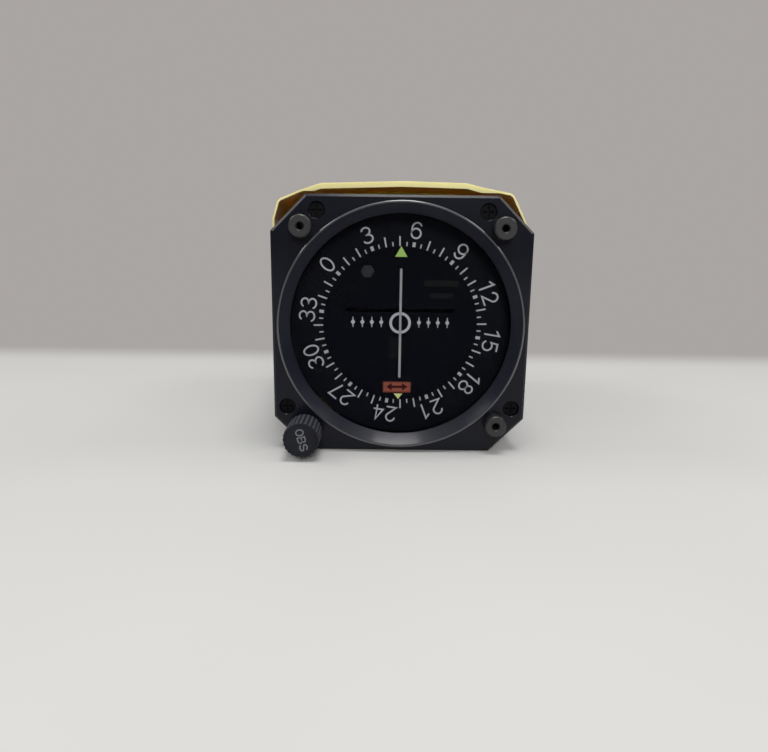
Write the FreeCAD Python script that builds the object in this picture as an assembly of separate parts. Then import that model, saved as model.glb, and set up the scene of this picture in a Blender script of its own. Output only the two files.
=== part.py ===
import FreeCAD, Part
import math
import os

from FreeCAD import Vector

# Course deviation indicator for a 3 1/8 inch panel hole, in millimetres.
# +X is right, +Y runs into the panel away from the pilot, +Z is up.
# The origin is the centre of the round spigot, on the front face of the square flange.

# The round hole in the panel is the driving size: 3 1/8 inches across
PANEL_HOLE_R = 39.6875

# Square flange and the raised ring that fills the panel hole
FLANGE_OVERHANG = 1.5875
FLANGE_THICK = 4.8
FLANGE_CORNER_OUT = 6.0
FLANGE_CORNER_ROUND = 1.0
FLANGE_EDGE_BREAK = 0.8
SPIGOT_PLAY = 0.1875
SPIGOT_OUT = 2.0
SPIGOT_EDGE_BREAK = 0.2
RING_SEAT_WIDTH = 0.8
RING_SKIRT_DEPTH = 2.6
RING_LIP_WIDTH = 0.6
RING_LIP_STEP = 0.35
RING_WIDTH = 3.6
WINDOW_LAND = 0.5

# Glass stack behind the ring
GASKET_THICK = 0.5
GASKET_WIDTH = 2.0
GLASS_THICK = 2.0
GLASS_PLAY = 0.2
SPACER_DEPTH = 2.3
SPACER_WALL = 1.2

# Front housing casting
HOUSING_INSET = 0.7
HOUSING_SIDE_WALL = 1.4
HOUSING_CORNER_INSET = 0.25
HOUSING_CORNER_WALL = 0.9
HOUSING_LEDGE_WIDTH = 0.9
HOUSING_LEDGE_THICK = 1.0
HOUSING_DEPTH = 19.2
SLIDE_PLAY = 0.1

# Mounting posts and flange screws
POST_CIRCLE_OUT = 4.7625
POST_R = 3.47
POST_OUT = 4.5
POST_SHANK_R = 2.4
POST_HOLE_R = 1.13
POST_HOLE_DEPTH = 9.0
POST_MOUTH = 0.35
POST_EDGE_BREAK = 0.35
SCREW_TOP_IN_X = 14.575
SCREW_TOP_IN_Z = 4.875
SCREW_SIDE_IN_X = 4.375
SCREW_SIDE_IN_Z = 14.775
SCREW_HEAD_R = 2.4
SCREW_HEAD_THICK = 1.5
SCREW_HEAD_PLAY = 0.1
SCREW_SUNK = 1.0
SCREW_MOUTH = 0.25
SCREW_SHANK_R = 1.2
SCREW_LENGTH = 4.7
DRIVE_WIDTH = 0.6
DRIVE_DEPTH = 0.8

# Compass card, its ring gear and its bearing
CARD_BAND = 10.4
FACE_THICK = 0.6
FACE_BEHIND_GLASS = 2.6
CARD_GAP = 0.2
CARD_EDGE_PLAY = 0.3
CARD_THICK = 0.8
CARD_UNDERLAP = 0.25
CARD_GEAR_INSET = 2.5
CARD_GEAR_RIM = 0.8
CARD_SKIRT_WALL = 2.2
CARD_SKIRT_DEPTH = 4.9
CARD_THRUST_GAP = 0.3
RUNNING_PLAY = 0.05
BEARING_WALL = 1.95
BEARING_FRONT_GAP = 0.4

# Gear train from the knob to the card and to the resolver
MODULE = 0.5
RESOLVER_MODULE = 0.4
IDLER_CARD_TEETH = 23
IDLER_KNOB_TEETH = 14
KNOB_TEETH = 10
IDLER_RESOLVER_TEETH = 12
TOOTH_ADDENDUM = 0.7
TOOTH_DEDENDUM = 1.0
TOOTH_THICKNESS = 0.38
PRESSURE_ANGLE = 20.0
KNOB_OUT = 6.4125
KNOB_ANGLE = 227.73
RESOLVER_ANGLE = 41.2
KNOB_MESH_GAP = 1.0
KNOB_MESH_WIDTH = 1.8
MESH_STEP = 0.6
CARD_MESH_WIDTH = 1.8
RESOLVER_MESH_WIDTH = 1.6
IDLER_SHAFT_R = 1.0
IDLER_SOCKET_DEPTH = 1.4
END_PLAY = 0.1
GEAR_PLATE_THICK = 1.5

# Omni bearing selector knob and its shaft
OBS_KNOB_R = 5.75
OBS_KNOB_LENGTH = 11.4
OBS_FLUTES = 24
OBS_FLUTE_DEPTH = 0.4
OBS_EDGE_BREAK = 0.3
OBS_LAND = 0.44
OBS_DISH = 0.3
OBS_RIM = 0.75
OBS_COLLAR_LENGTH = 1.4
OBS_BUSHING_R = 2.3
OBS_BUSHING_HEAD_R = 3.2
OBS_BUSHING_HEAD = 0.8
OBS_HEAD_GAP = 0.3
OBS_SHAFT_R = 1.5
OBS_SHAFT_BLIND = 2.0
SET_SCREW_R = 0.95
SET_SCREW_SUNK = 0.5

# Openings and small parts in the fixed centre face, most of them placed from its edge
NEEDLE_SLOT_EDGE = 7.5
NEEDLE_SLOT_HEIGHT = 1.2
FLAG_WINDOW_X = -0.7
FLAG_WINDOW_EDGE = 4.1
FLAG_WINDOW_WIDTH = 9.8
FLAG_WINDOW_HEIGHT = 4.2
SENSE_WINDOW_X = -0.95
SENSE_WINDOW_RISE = 13.4
SENSE_WINDOW_WIDTH = 5.3
SENSE_WINDOW_HEIGHT = 8.0
UPPER_LENS_EDGE_X = 12.1
UPPER_LENS_EDGE_Z = 11.65
UPPER_LENS_WIDTH = 11.2
UPPER_LENS_HEIGHT = 1.9
LOWER_LENS_EDGE_X = 12.0
LOWER_LENS_EDGE_Z = 15.7
LOWER_LENS_WIDTH = 7.4
LOWER_LENS_HEIGHT = 1.6
LENS_THICK = 0.4
PHOTOCELL_EDGE_X = 14.5
PHOTOCELL_EDGE_Z = 8.0
PHOTOCELL_R = 2.2
PHOTOCELL_PROUD = 0.5
DIAL_PILLAR_R = 1.0
DIAL_PILLAR_EDGE = 0.8
DIAL_PILLAR_ANGLES = (56.0, 124.0, 209.4, 330.6)

# Deviation needle
NEEDLE_WIDTH = 0.75
NEEDLE_TOP_EDGE = 6.95
NEEDLE_BOTTOM_EDGE = 8.0
NEEDLE_THICK = 0.4
NEEDLE_GLASS_GAP = 0.4
NEEDLE_ARM_WIDTH = 0.6
NEEDLE_ARM_Z = 4.8
NEEDLE_SWING = 9.6

# Warning flag and to-from indicator behind the centre face
VANE_THICK = 0.3
FLAG_GAP = 0.3
FLAG_MARGIN = 0.1
FLAG_ARM_IN = 0.8
FLAG_ARM_DROP = 1.45
FLAG_LIFT = 6.5
SENSE_GAP = 0.9
SENSE_VANE_WIDTH = 16.0
SENSE_VANE_MARGIN = 0.4
SENSE_ARM_X = -1.0
SENSE_ARM_RISE = 3.4
SENSE_SWING = 7.5
ARM_WIDTH = 0.8
ARM_CLEARANCE = 0.7

# Meter movements: core magnet, coil and bracket
CORE_R = 3.6
CORE_HALF = 4.0
STEM_HALF = 1.5
COIL_HALF_WIDTH = 5.6
COIL_HALF_HEIGHT = 6.0
COIL_BAR = 1.3
COIL_HALF_THICK = 1.5
PIVOT_R = 0.6
PIVOT_LENGTH = 2.5
BRACKET_REACH = 10.0
BRACKET_SHEET = 1.5
BRACKET_GAP = 1.2
BRACKET_WEB_THICK = 1.2
BRACKET_ARM_HALF = 2.6
BRACKET_WEB_HALF = 3.2

# Resolver and its mounting plate
RESOLVER_R = 9.53
RESOLVER_LENGTH = 32.0
RESOLVER_TERMINAL_R = 7.6
RESOLVER_TERMINAL_LENGTH = 3.0
RESOLVER_SHAFT_R = 1.2
RESOLVER_HUB_R = 3.0
RESOLVER_SHAFT_SUNK = 4.0
RESOLVER_PLATE_GAP = 0.6
RESOLVER_PLATE_THICK = 1.5
RESOLVER_POST_OUT = 2.2
RESOLVER_POST_R = 1.3
RESOLVER_POST_ANGLES = (90.0, 180.0, 300.0)
RESOLVER_PLATE_MARGIN = 2.4

# Chassis, rear case and electronics
CHASSIS_PILLAR_R = 2.2
CHASSIS_PILLAR_IN = 9.575
CHASSIS_PILLAR_TOP = 20.0
CHASSIS_PILLAR_LOW = -8.0
SIDE_POST_IN = 3.775
SIDE_POST_Z = -20.0
SIDE_POST_R = 1.8
MID_PLATE_Y = 76.0
MID_PLATE_THICK = 1.5
MID_PLATE_IN = 9.575
CASE_WALL = 1.2
CASE_END_Y = 110.0
REAR_PLATE_THICK = 2.0
CASE_SCREW_R = 2.6
CASE_SCREW_HEAD = 1.6
CASE_SCREW_SHANK_R = 1.4
CASE_SCREW_LENGTH = 6.0
BOARD_IN = 5.175
BOARD_THICK = 1.6
BOARD_FRONT_Y = 30.0
BOARD_IN_Z = 16.575
CHIP_LENGTH = 9.0
CHIP_WIDTH = 6.4
CHIP_THICK = 2.0
CHIP_PITCH = 14.0
CAPACITOR_R = 2.5
CAPACITOR_HEIGHT = 4.0

# Rear connector
CONNECTOR_Z = -20.0
CONNECTOR_FLANGE_WIDTH = 53.0
CONNECTOR_FLANGE_HEIGHT = 12.5
CONNECTOR_FLANGE_THICK = 1.0
CONNECTOR_SHELL_GAP = 4.37
CONNECTOR_SHELL_HEIGHT = 7.9
CONNECTOR_SHELL_SLOPE = 10.0
CONNECTOR_SHELL_LENGTH = 6.0
CONNECTOR_SHELL_WALL = 0.5
CONNECTOR_INNER_LENGTH = 3.0
CONTACT_PITCH = 2.76
CONTACT_ROW_GAP = 2.84
CONTACT_R = 0.55
CONTACT_DEPTH = 4.0
CONTACT_EDGE = 2.0
JACK_EDGE = 2.98
JACK_R = 2.6
JACK_LENGTH = 5.0
JACK_HOLE_R = 1.25
JACK_TURN = 30.0

# Sheet cover over the top of the housing, with each bend placed from the housing's side and top
COVER_SHEET = 0.6
COVER_LENGTH = 37.0
COVER_LEG_DROP = 16.5
COVER_LEFT_BENDS = ((0.0, -6.8), (1.75, -0.9), (8.7, 2.0), (15.5, 4.2))
COVER_RIGHT_BENDS = ((0.0, -11.0), (1.9, -6.6), (6.2, 1.6), (17.1, 3.7), (21.0, 4.7))
COVER_CREST = 5.1
COVER_BEND_R = 2.5
COVER_LIP = 1.7
COVER_LIP_RISE = 1.8
COVER_FLANGE_GAP = 0.1

# Places worked out from the sizes above
SPIGOT_R = PANEL_HOLE_R - SPIGOT_PLAY
WINDOW_R = SPIGOT_R - RING_WIDTH
BORE_R = SPIGOT_R - RING_SEAT_WIDTH
GLASS_Y = RING_SKIRT_DEPTH + GASKET_THICK
GLASS_BACK_Y = GLASS_Y + GLASS_THICK
LEDGE_Y = GLASS_BACK_Y + SPACER_DEPTH
HOUSING_FRONT_BACK_Y = LEDGE_Y + HOUSING_LEDGE_THICK
HOUSING_END_Y = FLANGE_THICK + HOUSING_DEPTH
FLANGE_HALF = PANEL_HOLE_R + FLANGE_OVERHANG
POST_REACH = PANEL_HOLE_R + POST_CIRCLE_OUT
FLANGE_REACH = POST_REACH + FLANGE_CORNER_OUT
HOUSING_HALF = FLANGE_HALF - HOUSING_INSET
HOUSING_REACH = FLANGE_REACH - HOUSING_CORNER_INSET
CAVITY_HALF = HOUSING_HALF - HOUSING_SIDE_WALL
CAVITY_REACH = HOUSING_REACH - HOUSING_CORNER_WALL
CASE_HALF = HOUSING_HALF
CASE_REACH = HOUSING_REACH
CASE_FRONT_Y = HOUSING_END_Y
POST_XZ = POST_REACH / math.sqrt(2)
FACE_R = WINDOW_R - CARD_BAND
FACE_Y = GLASS_BACK_Y + FACE_BEHIND_GLASS
FACE_BACK_Y = FACE_Y + FACE_THICK
CARD_R = BORE_R - GLASS_PLAY - SPACER_WALL - CARD_EDGE_PLAY
CARD_HOLE_R = FACE_R - CARD_UNDERLAP
CARD_TEETH = round(2 * (CARD_R - CARD_GEAR_INSET) / MODULE)
CARD_SKIRT_R = (CARD_TEETH / 2 - TOOTH_DEDENDUM) * MODULE - CARD_GEAR_RIM
RESOLVER_TEETH = round(IDLER_RESOLVER_TEETH * CARD_TEETH / IDLER_CARD_TEETH)
CARD_Y = FACE_BACK_Y + CARD_GAP
CARD_BACK_Y = CARD_Y + CARD_THICK
SKIRT_END_Y = CARD_BACK_Y + CARD_SKIRT_DEPTH
SKIRT_BORE_R = CARD_SKIRT_R - CARD_SKIRT_WALL
GEAR_PLATE_Y = SKIRT_END_Y + CARD_THRUST_GAP
GEAR_PLATE_BACK_Y = GEAR_PLATE_Y + GEAR_PLATE_THICK
KNOB_MESH_Y = HOUSING_FRONT_BACK_Y + KNOB_MESH_GAP
CARD_MESH_Y = KNOB_MESH_Y + KNOB_MESH_WIDTH + MESH_STEP
RESOLVER_MESH_Y = GEAR_PLATE_BACK_Y + MESH_STEP
RESOLVER_PLATE_Y = RESOLVER_MESH_Y + RESOLVER_MESH_WIDTH + RESOLVER_PLATE_GAP
RESOLVER_BODY_Y = RESOLVER_PLATE_Y + RESOLVER_PLATE_THICK
NEEDLE_Y = GLASS_BACK_Y + NEEDLE_GLASS_GAP
NEEDLE_PIVOT_Y = CASE_END_Y - BRACKET_REACH
MID_PIVOT_Y = MID_PLATE_Y - BRACKET_REACH
NEEDLE_SLOT_HALF = FACE_R - NEEDLE_SLOT_EDGE
NEEDLE_TOP = FACE_R - NEEDLE_TOP_EDGE
NEEDLE_BOTTOM = NEEDLE_BOTTOM_EDGE - FACE_R
FLAG_Y = FACE_BACK_Y + FLAG_GAP
FLAG_WINDOW_Z = FLAG_WINDOW_EDGE - FACE_R
SENSE_WINDOW_Z = FLAG_WINDOW_Z + SENSE_WINDOW_RISE
SENSE_ARM_Z = SENSE_WINDOW_Z + SENSE_ARM_RISE
FLAG_ARM_X = FLAG_WINDOW_X + FLAG_WINDOW_WIDTH / 2 - FLAG_ARM_IN
FLAG_ARM_Z = FLAG_WINDOW_Z - FLAG_ARM_DROP
UPPER_LENS_X = FACE_R - UPPER_LENS_EDGE_X
UPPER_LENS_Z = FACE_R - UPPER_LENS_EDGE_Z
LOWER_LENS_X = FACE_R - LOWER_LENS_EDGE_X
LOWER_LENS_Z = FACE_R - LOWER_LENS_EDGE_Z
PHOTOCELL_X = PHOTOCELL_EDGE_X - FACE_R
PHOTOCELL_Z = FACE_R - PHOTOCELL_EDGE_Z
SENSE_Y = FACE_BACK_Y + SENSE_GAP
COIL_ARM_OFFSET = COIL_HALF_HEIGHT - COIL_BAR / 2
CHASSIS_PILLAR_X = HOUSING_HALF - CHASSIS_PILLAR_IN
SIDE_POST_X = SIDE_POST_IN - HOUSING_HALF
MID_PLATE_HALF_HEIGHT = CASE_HALF - MID_PLATE_IN
BOARD_X = CASE_HALF - BOARD_IN
BOARD_HALF_HEIGHT = CASE_HALF - BOARD_IN_Z
REAR_PLATE_BACK_Y = CASE_END_Y + REAR_PLATE_THICK
JACK_SPACING = CONNECTOR_FLANGE_WIDTH - 2 * JACK_EDGE
CONNECTOR_SHELL_WIDTH = JACK_SPACING - 2 * CONNECTOR_SHELL_GAP
CONTACTS_TOP = int((CONNECTOR_SHELL_WIDTH - CONTACT_EDGE) / CONTACT_PITCH)
OBS_BACK_Y = -OBS_BUSHING_HEAD - OBS_HEAD_GAP
OBS_FRONT_Y = OBS_BACK_Y - OBS_KNOB_LENGTH
COVER_Y = FLANGE_THICK + COVER_FLANGE_GAP


def turned_point(centre, reach, angle):
    """A point at a distance and an angle, in degrees, from a centre in the XZ plane."""
    a = math.radians(angle)
    return (centre[0] + reach * math.cos(a), centre[1] + reach * math.sin(a))


def angle_between(start, end):
    return math.degrees(math.atan2(end[1] - start[1], end[0] - start[0]))


def pitch_radius(teeth, module):
    return teeth * module / 2


def crossing(centre_a, reach_a, centre_b, reach_b):
    """The lower right crossing of two circles in the XZ plane."""
    dx = centre_b[0] - centre_a[0]
    dz = centre_b[1] - centre_a[1]
    span = math.hypot(dx, dz)
    along = (reach_a ** 2 - reach_b ** 2 + span ** 2) / (2 * span)
    side = math.sqrt(max(reach_a ** 2 - along ** 2, 0.0))
    mid_x = centre_a[0] + along * dx / span
    mid_z = centre_a[1] + along * dz / span
    return (mid_x - side * dz / span, mid_z + side * dx / span)


# Axes of the gear train
CARD_AXIS = (0.0, 0.0)
KNOB_AXIS = turned_point(CARD_AXIS, PANEL_HOLE_R + KNOB_OUT, KNOB_ANGLE)
CARD_TO_IDLER = pitch_radius(CARD_TEETH + IDLER_CARD_TEETH, MODULE)
KNOB_TO_IDLER = pitch_radius(KNOB_TEETH + IDLER_KNOB_TEETH, MODULE)
IDLER_TO_RESOLVER = pitch_radius(IDLER_RESOLVER_TEETH + RESOLVER_TEETH, RESOLVER_MODULE)
IDLER_AXIS = crossing(CARD_AXIS, CARD_TO_IDLER, KNOB_AXIS, KNOB_TO_IDLER)
RESOLVER_AXIS = turned_point(IDLER_AXIS, IDLER_TO_RESOLVER, RESOLVER_ANGLE)
RESOLVER_POST_REACH = pitch_radius(RESOLVER_TEETH, RESOLVER_MODULE) + RESOLVER_POST_OUT


def meshed_phase(angle, teeth_a, phase_a, teeth_b):
    """Angle of one tooth of gear B that meshes with gear A across the line at this angle."""
    return angle + 180.0 - (teeth_a * (phase_a - angle) + 180.0) / teeth_b


CARD_PHASE = 0.0
IDLER_CARD_PHASE = meshed_phase(angle_between(CARD_AXIS, IDLER_AXIS), CARD_TEETH, CARD_PHASE, IDLER_CARD_TEETH)
IDLER_KNOB_PHASE = 0.0
KNOB_PHASE = meshed_phase(angle_between(IDLER_AXIS, KNOB_AXIS), IDLER_KNOB_TEETH, IDLER_KNOB_PHASE, KNOB_TEETH)
IDLER_RESOLVER_PHASE = 0.0
RESOLVER_PHASE = meshed_phase(
    angle_between(IDLER_AXIS, RESOLVER_AXIS), IDLER_RESOLVER_TEETH, IDLER_RESOLVER_PHASE, RESOLVER_TEETH)


def cylinder(r, y0, y1, at=(0.0, 0.0)):
    """A round bar along Y."""
    return Part.makeCylinder(r, y1 - y0, Vector(at[0], y0, at[1]), Vector(0, 1, 0))


def tube(r_out, r_in, y0, y1, at=(0.0, 0.0)):
    return cylinder(r_out, y0, y1, at).cut(cylinder(r_in, y0, y1, at))


def block(x0, x1, y0, y1, z0, z1):
    return Part.makeBox(x1 - x0, y1 - y0, z1 - z0, Vector(x0, y0, z0))


def centred_block(x, z, width, height, y0, y1):
    return block(x - width / 2, x + width / 2, y0, y1, z - height / 2, z + height / 2)


def prism(points, y0, y1):
    """A straight prism along Y over a closed outline of (x, z) points."""
    corners = [Vector(x, y0, z) for x, z in points]
    face = Part.Face(Part.makePolygon(corners + corners[:1]))
    return face.extrude(Vector(0, y1 - y0, 0))


def turned(profile, at=(0.0, 0.0)):
    """A solid turned about the Y axis from (radius, y) points, then moved to its axis."""
    corners = [Vector(r, y, 0) for r, y in profile]
    face = Part.Face(Part.makePolygon(corners + corners[:1]))
    solid = face.revolve(Vector(0, 0, 0), Vector(0, 1, 0), 360)
    solid.translate(Vector(at[0], 0, at[1]))
    return solid


def octagon_points(half, reach):
    """A square with its corners cut, where reach is the distance from the centre to a cut."""
    cut = 2 * half - reach * math.sqrt(2)
    near = half - cut
    return [(half, -near), (half, near), (near, half), (-near, half),
            (-half, near), (-half, -near), (-near, -half), (near, -half)]


def octagon_plate(half, reach, y0, y1):
    return prism(octagon_points(half, reach), y0, y1)


def polygon_points(sides, r, at, start=0.0):
    return [turned_point(at, r, start + 360.0 * i / sides) for i in range(sides)]


def gear_blank(teeth, module, phase, y0, y1, at):
    """A spur gear with straight flanked stub teeth."""
    pitch = pitch_radius(teeth, module)
    tip = pitch + TOOTH_ADDENDUM * module
    root = pitch - TOOTH_DEDENDUM * module
    half = TOOTH_THICKNESS * math.pi * module / 2
    lean = math.tan(math.radians(PRESSURE_ANGLE))
    tip_angle = math.degrees((half - TOOTH_ADDENDUM * module * lean) / tip)
    root_angle = math.degrees((half + TOOTH_DEDENDUM * module * lean) / root)
    points = []
    for i in range(teeth):
        middle = phase + 360.0 * i / teeth
        points.append(turned_point(at, root, middle - root_angle))
        points.append(turned_point(at, tip, middle - tip_angle))
        points.append(turned_point(at, tip, middle + tip_angle))
        points.append(turned_point(at, root, middle + root_angle))
    return prism(points, y0, y1)


def cut_all(shape, tools):
    for tool in tools:
        shape = shape.cut(tool)
    return shape


def joined(first, others):
    for other in others:
        first = first.fuse(other)
    return first.removeSplitter()


def edges_along_y(shape):
    found = []
    for edge in shape.Edges:
        a, b = edge.Vertexes[0].Point, edge.Vertexes[-1].Point
        if math.hypot(a.x - b.x, a.z - b.z) < 1e-6 and abs(a.y - b.y) > 1e-6:
            found.append(edge)
    return found


def edges_at_y(shape, y):
    """The edges that lie wholly in one plane across the depth."""
    return [edge for edge in shape.Edges if all(abs(v.Point.y - y) < 1e-6 for v in edge.Vertexes)]


def flange_screw_places():
    top_x, top_z = FLANGE_HALF - SCREW_TOP_IN_X, FLANGE_HALF - SCREW_TOP_IN_Z
    side_x, side_z = FLANGE_HALF - SCREW_SIDE_IN_X, FLANGE_HALF - SCREW_SIDE_IN_Z
    return [(-top_x, top_z), (top_x, top_z), (-side_x, -side_z), (side_x, -side_z)]


def mounting_post_places():
    return {"top_left": (-POST_XZ, POST_XZ), "top_right": (POST_XZ, POST_XZ), "bottom_right": (POST_XZ, -POST_XZ)}


def front_flange():
    flange = octagon_plate(FLANGE_HALF, FLANGE_REACH, 0, FLANGE_THICK)
    flange = flange.makeFillet(FLANGE_CORNER_ROUND, edges_along_y(flange))
    flange = flange.makeChamfer(FLANGE_EDGE_BREAK, edges_at_y(flange, 0))
    holes = [cylinder(BORE_R, 0, FLANGE_THICK), cylinder(OBS_BUSHING_R, 0, FLANGE_THICK, KNOB_AXIS)]
    for place in mounting_post_places().values():
        holes.append(cylinder(POST_SHANK_R, 0, FLANGE_THICK, place))
    head_r = SCREW_HEAD_R + SCREW_HEAD_PLAY
    seat = SCREW_SUNK + SCREW_HEAD_THICK
    screw_hole = [
        (0, 0),
        (head_r + SCREW_MOUTH, 0),
        (head_r, SCREW_MOUTH),
        (head_r, seat),
        (SCREW_SHANK_R, seat),
        (SCREW_SHANK_R, FLANGE_THICK),
        (0, FLANGE_THICK),
    ]
    holes += [turned(screw_hole, place) for place in flange_screw_places()]
    return cut_all(flange, holes)


def bezel_ring():
    lip_in = SPIGOT_R - RING_LIP_WIDTH
    profile = [
        (SPIGOT_R, 0),
        (SPIGOT_R, -SPIGOT_OUT + SPIGOT_EDGE_BREAK),
        (SPIGOT_R - SPIGOT_EDGE_BREAK, -SPIGOT_OUT),
        (lip_in, -SPIGOT_OUT),
        (lip_in - RING_LIP_STEP / 2, -SPIGOT_OUT + RING_LIP_STEP),
        (WINDOW_R, RING_SKIRT_DEPTH - WINDOW_LAND),
        (WINDOW_R, RING_SKIRT_DEPTH),
        (BORE_R, RING_SKIRT_DEPTH),
        (BORE_R, 0),
    ]
    return turned(profile)


def glass_gasket():
    r_out = BORE_R - GLASS_PLAY
    return tube(r_out, r_out - GASKET_WIDTH, RING_SKIRT_DEPTH, GLASS_Y)


def window_glass():
    return cylinder(BORE_R - GLASS_PLAY, GLASS_Y, GLASS_BACK_Y)


def lens_spacer():
    r_out = BORE_R - GLASS_PLAY
    return tube(r_out, r_out - SPACER_WALL, GLASS_BACK_Y, LEDGE_Y)


def front_housing():
    body = octagon_plate(HOUSING_HALF, HOUSING_REACH, FLANGE_THICK, HOUSING_END_Y)
    cavity = octagon_plate(CAVITY_HALF, CAVITY_REACH, HOUSING_FRONT_BACK_Y, HOUSING_END_Y)
    cuts = [
        cavity,
        cylinder(BORE_R, FLANGE_THICK, LEDGE_Y),
        cylinder(BORE_R - HOUSING_LEDGE_WIDTH, LEDGE_Y, HOUSING_FRONT_BACK_Y),
        cylinder(OBS_BUSHING_R, FLANGE_THICK, HOUSING_FRONT_BACK_Y, KNOB_AXIS),
        cylinder(IDLER_SHAFT_R + RUNNING_PLAY, HOUSING_FRONT_BACK_Y - IDLER_SOCKET_DEPTH,
                 HOUSING_FRONT_BACK_Y, IDLER_AXIS),
    ]
    for place in mounting_post_places().values():
        cuts.append(cylinder(POST_SHANK_R, FLANGE_THICK, HOUSING_FRONT_BACK_Y, place))
    thread_end = SCREW_SUNK + SCREW_HEAD_THICK + SCREW_LENGTH
    for place in flange_screw_places():
        cuts.append(cylinder(SCREW_SHANK_R, FLANGE_THICK, thread_end, place))
    return cut_all(body, cuts)


def mounting_post(place):
    front = -POST_OUT
    profile = [
        (POST_HOLE_R + POST_MOUTH, front),
        (POST_R - POST_EDGE_BREAK, front),
        (POST_R, front + POST_EDGE_BREAK),
        (POST_R, 0),
        (POST_SHANK_R, 0),
        (POST_SHANK_R, HOUSING_FRONT_BACK_Y),
        (0, HOUSING_FRONT_BACK_Y),
        (0, front + POST_HOLE_DEPTH),
        (POST_HOLE_R, front + POST_HOLE_DEPTH),
        (POST_HOLE_R, front + POST_MOUTH),
    ]
    return turned(profile, place)


def cross_recess(at, y, reach):
    """The cross drive in a screw head whose face is at this depth."""
    wide = centred_block(at[0], at[1], 2 * reach, DRIVE_WIDTH, y, y + DRIVE_DEPTH)
    tall = centred_block(at[0], at[1], DRIVE_WIDTH, 2 * reach, y, y + DRIVE_DEPTH)
    return wide.fuse(tall)


def flange_screw(place):
    seat = SCREW_SUNK + SCREW_HEAD_THICK
    screw = cylinder(SCREW_HEAD_R, SCREW_SUNK, seat, place)
    screw = screw.fuse(cylinder(SCREW_SHANK_R, seat, seat + SCREW_LENGTH, place))
    return screw.cut(cross_recess(place, SCREW_SUNK, SCREW_HEAD_R * 0.7))


def obs_bushing():
    head = cylinder(OBS_BUSHING_HEAD_R, -OBS_BUSHING_HEAD, 0, KNOB_AXIS)
    body = head.fuse(cylinder(OBS_BUSHING_R, 0, HOUSING_FRONT_BACK_Y, KNOB_AXIS))
    bore = cylinder(OBS_SHAFT_R + RUNNING_PLAY, -OBS_BUSHING_HEAD, HOUSING_FRONT_BACK_Y, KNOB_AXIS)
    return body.cut(bore)


def set_screw_y():
    return OBS_BACK_Y - OBS_COLLAR_LENGTH - 2 * SET_SCREW_R


def set_screw_bar(r, start, end):
    """A round bar along +X from the shaft outwards, at the knob's set screw."""
    place = Vector(KNOB_AXIS[0] + start, set_screw_y(), KNOB_AXIS[1])
    return Part.makeCylinder(r, end - start, place, Vector(1, 0, 0))


def obs_knob():
    flutes = []
    for i in range(OBS_FLUTES):
        step = 360.0 / OBS_FLUTES
        flutes.append(turned_point(KNOB_AXIS, OBS_KNOB_R, (i - OBS_LAND / 2) * step))
        flutes.append(turned_point(KNOB_AXIS, OBS_KNOB_R, (i + OBS_LAND / 2) * step))
        flutes.append(turned_point(KNOB_AXIS, OBS_KNOB_R - OBS_FLUTE_DEPTH, (i + 0.5) * step))
    grip = prism(flutes, OBS_FRONT_Y, OBS_BACK_Y - OBS_COLLAR_LENGTH)
    blank = turned([
        (0, OBS_FRONT_Y),
        (OBS_KNOB_R - OBS_EDGE_BREAK, OBS_FRONT_Y),
        (OBS_KNOB_R + 0.1, OBS_FRONT_Y + OBS_EDGE_BREAK + 0.1),
        (OBS_KNOB_R + 0.1, OBS_BACK_Y),
        (0, OBS_BACK_Y),
    ], KNOB_AXIS)
    collar_r = OBS_KNOB_R - OBS_FLUTE_DEPTH
    collar = cylinder(collar_r, OBS_BACK_Y - OBS_COLLAR_LENGTH, OBS_BACK_Y, KNOB_AXIS)
    knob = grip.common(blank).fuse(collar)
    knob = knob.cut(cylinder(OBS_KNOB_R - OBS_RIM, OBS_FRONT_Y, OBS_FRONT_Y + OBS_DISH, KNOB_AXIS))
    knob = knob.cut(cylinder(OBS_SHAFT_R, OBS_FRONT_Y + OBS_SHAFT_BLIND, OBS_BACK_Y, KNOB_AXIS))
    return knob.cut(set_screw_bar(SET_SCREW_R, 0, OBS_KNOB_R + 1))


def knob_set_screw():
    screw = set_screw_bar(SET_SCREW_R, 0, OBS_KNOB_R - OBS_FLUTE_DEPTH - SET_SCREW_SUNK)
    return screw.cut(obs_shaft())


def obs_shaft():
    return cylinder(OBS_SHAFT_R, OBS_FRONT_Y + OBS_SHAFT_BLIND, KNOB_MESH_Y + KNOB_MESH_WIDTH, KNOB_AXIS)


def obs_pinion():
    end = KNOB_MESH_Y + KNOB_MESH_WIDTH
    pinion = gear_blank(KNOB_TEETH, MODULE, KNOB_PHASE, KNOB_MESH_Y, end, KNOB_AXIS)
    return pinion.cut(obs_shaft())


def idler_cluster():
    shaft_start = HOUSING_FRONT_BACK_Y - IDLER_SOCKET_DEPTH + END_PLAY
    shaft_end = RESOLVER_MESH_Y + RESOLVER_MESH_WIDTH + END_PLAY
    shaft = cylinder(IDLER_SHAFT_R, shaft_start, shaft_end, IDLER_AXIS)
    knob_end = KNOB_MESH_Y + KNOB_MESH_WIDTH
    knob_gear = gear_blank(IDLER_KNOB_TEETH, MODULE, IDLER_KNOB_PHASE, KNOB_MESH_Y, knob_end, IDLER_AXIS)
    hub = cylinder(2 * IDLER_SHAFT_R, knob_end, CARD_MESH_Y, IDLER_AXIS)
    card_end = CARD_MESH_Y + CARD_MESH_WIDTH
    card_gear_wheel = gear_blank(IDLER_CARD_TEETH, MODULE, IDLER_CARD_PHASE, CARD_MESH_Y, card_end, IDLER_AXIS)
    resolver_end = RESOLVER_MESH_Y + RESOLVER_MESH_WIDTH
    resolver_pinion = gear_blank(
        IDLER_RESOLVER_TEETH, RESOLVER_MODULE, IDLER_RESOLVER_PHASE, RESOLVER_MESH_Y, resolver_end, IDLER_AXIS)
    return joined(shaft, [knob_gear, hub, card_gear_wheel, resolver_pinion])


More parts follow.
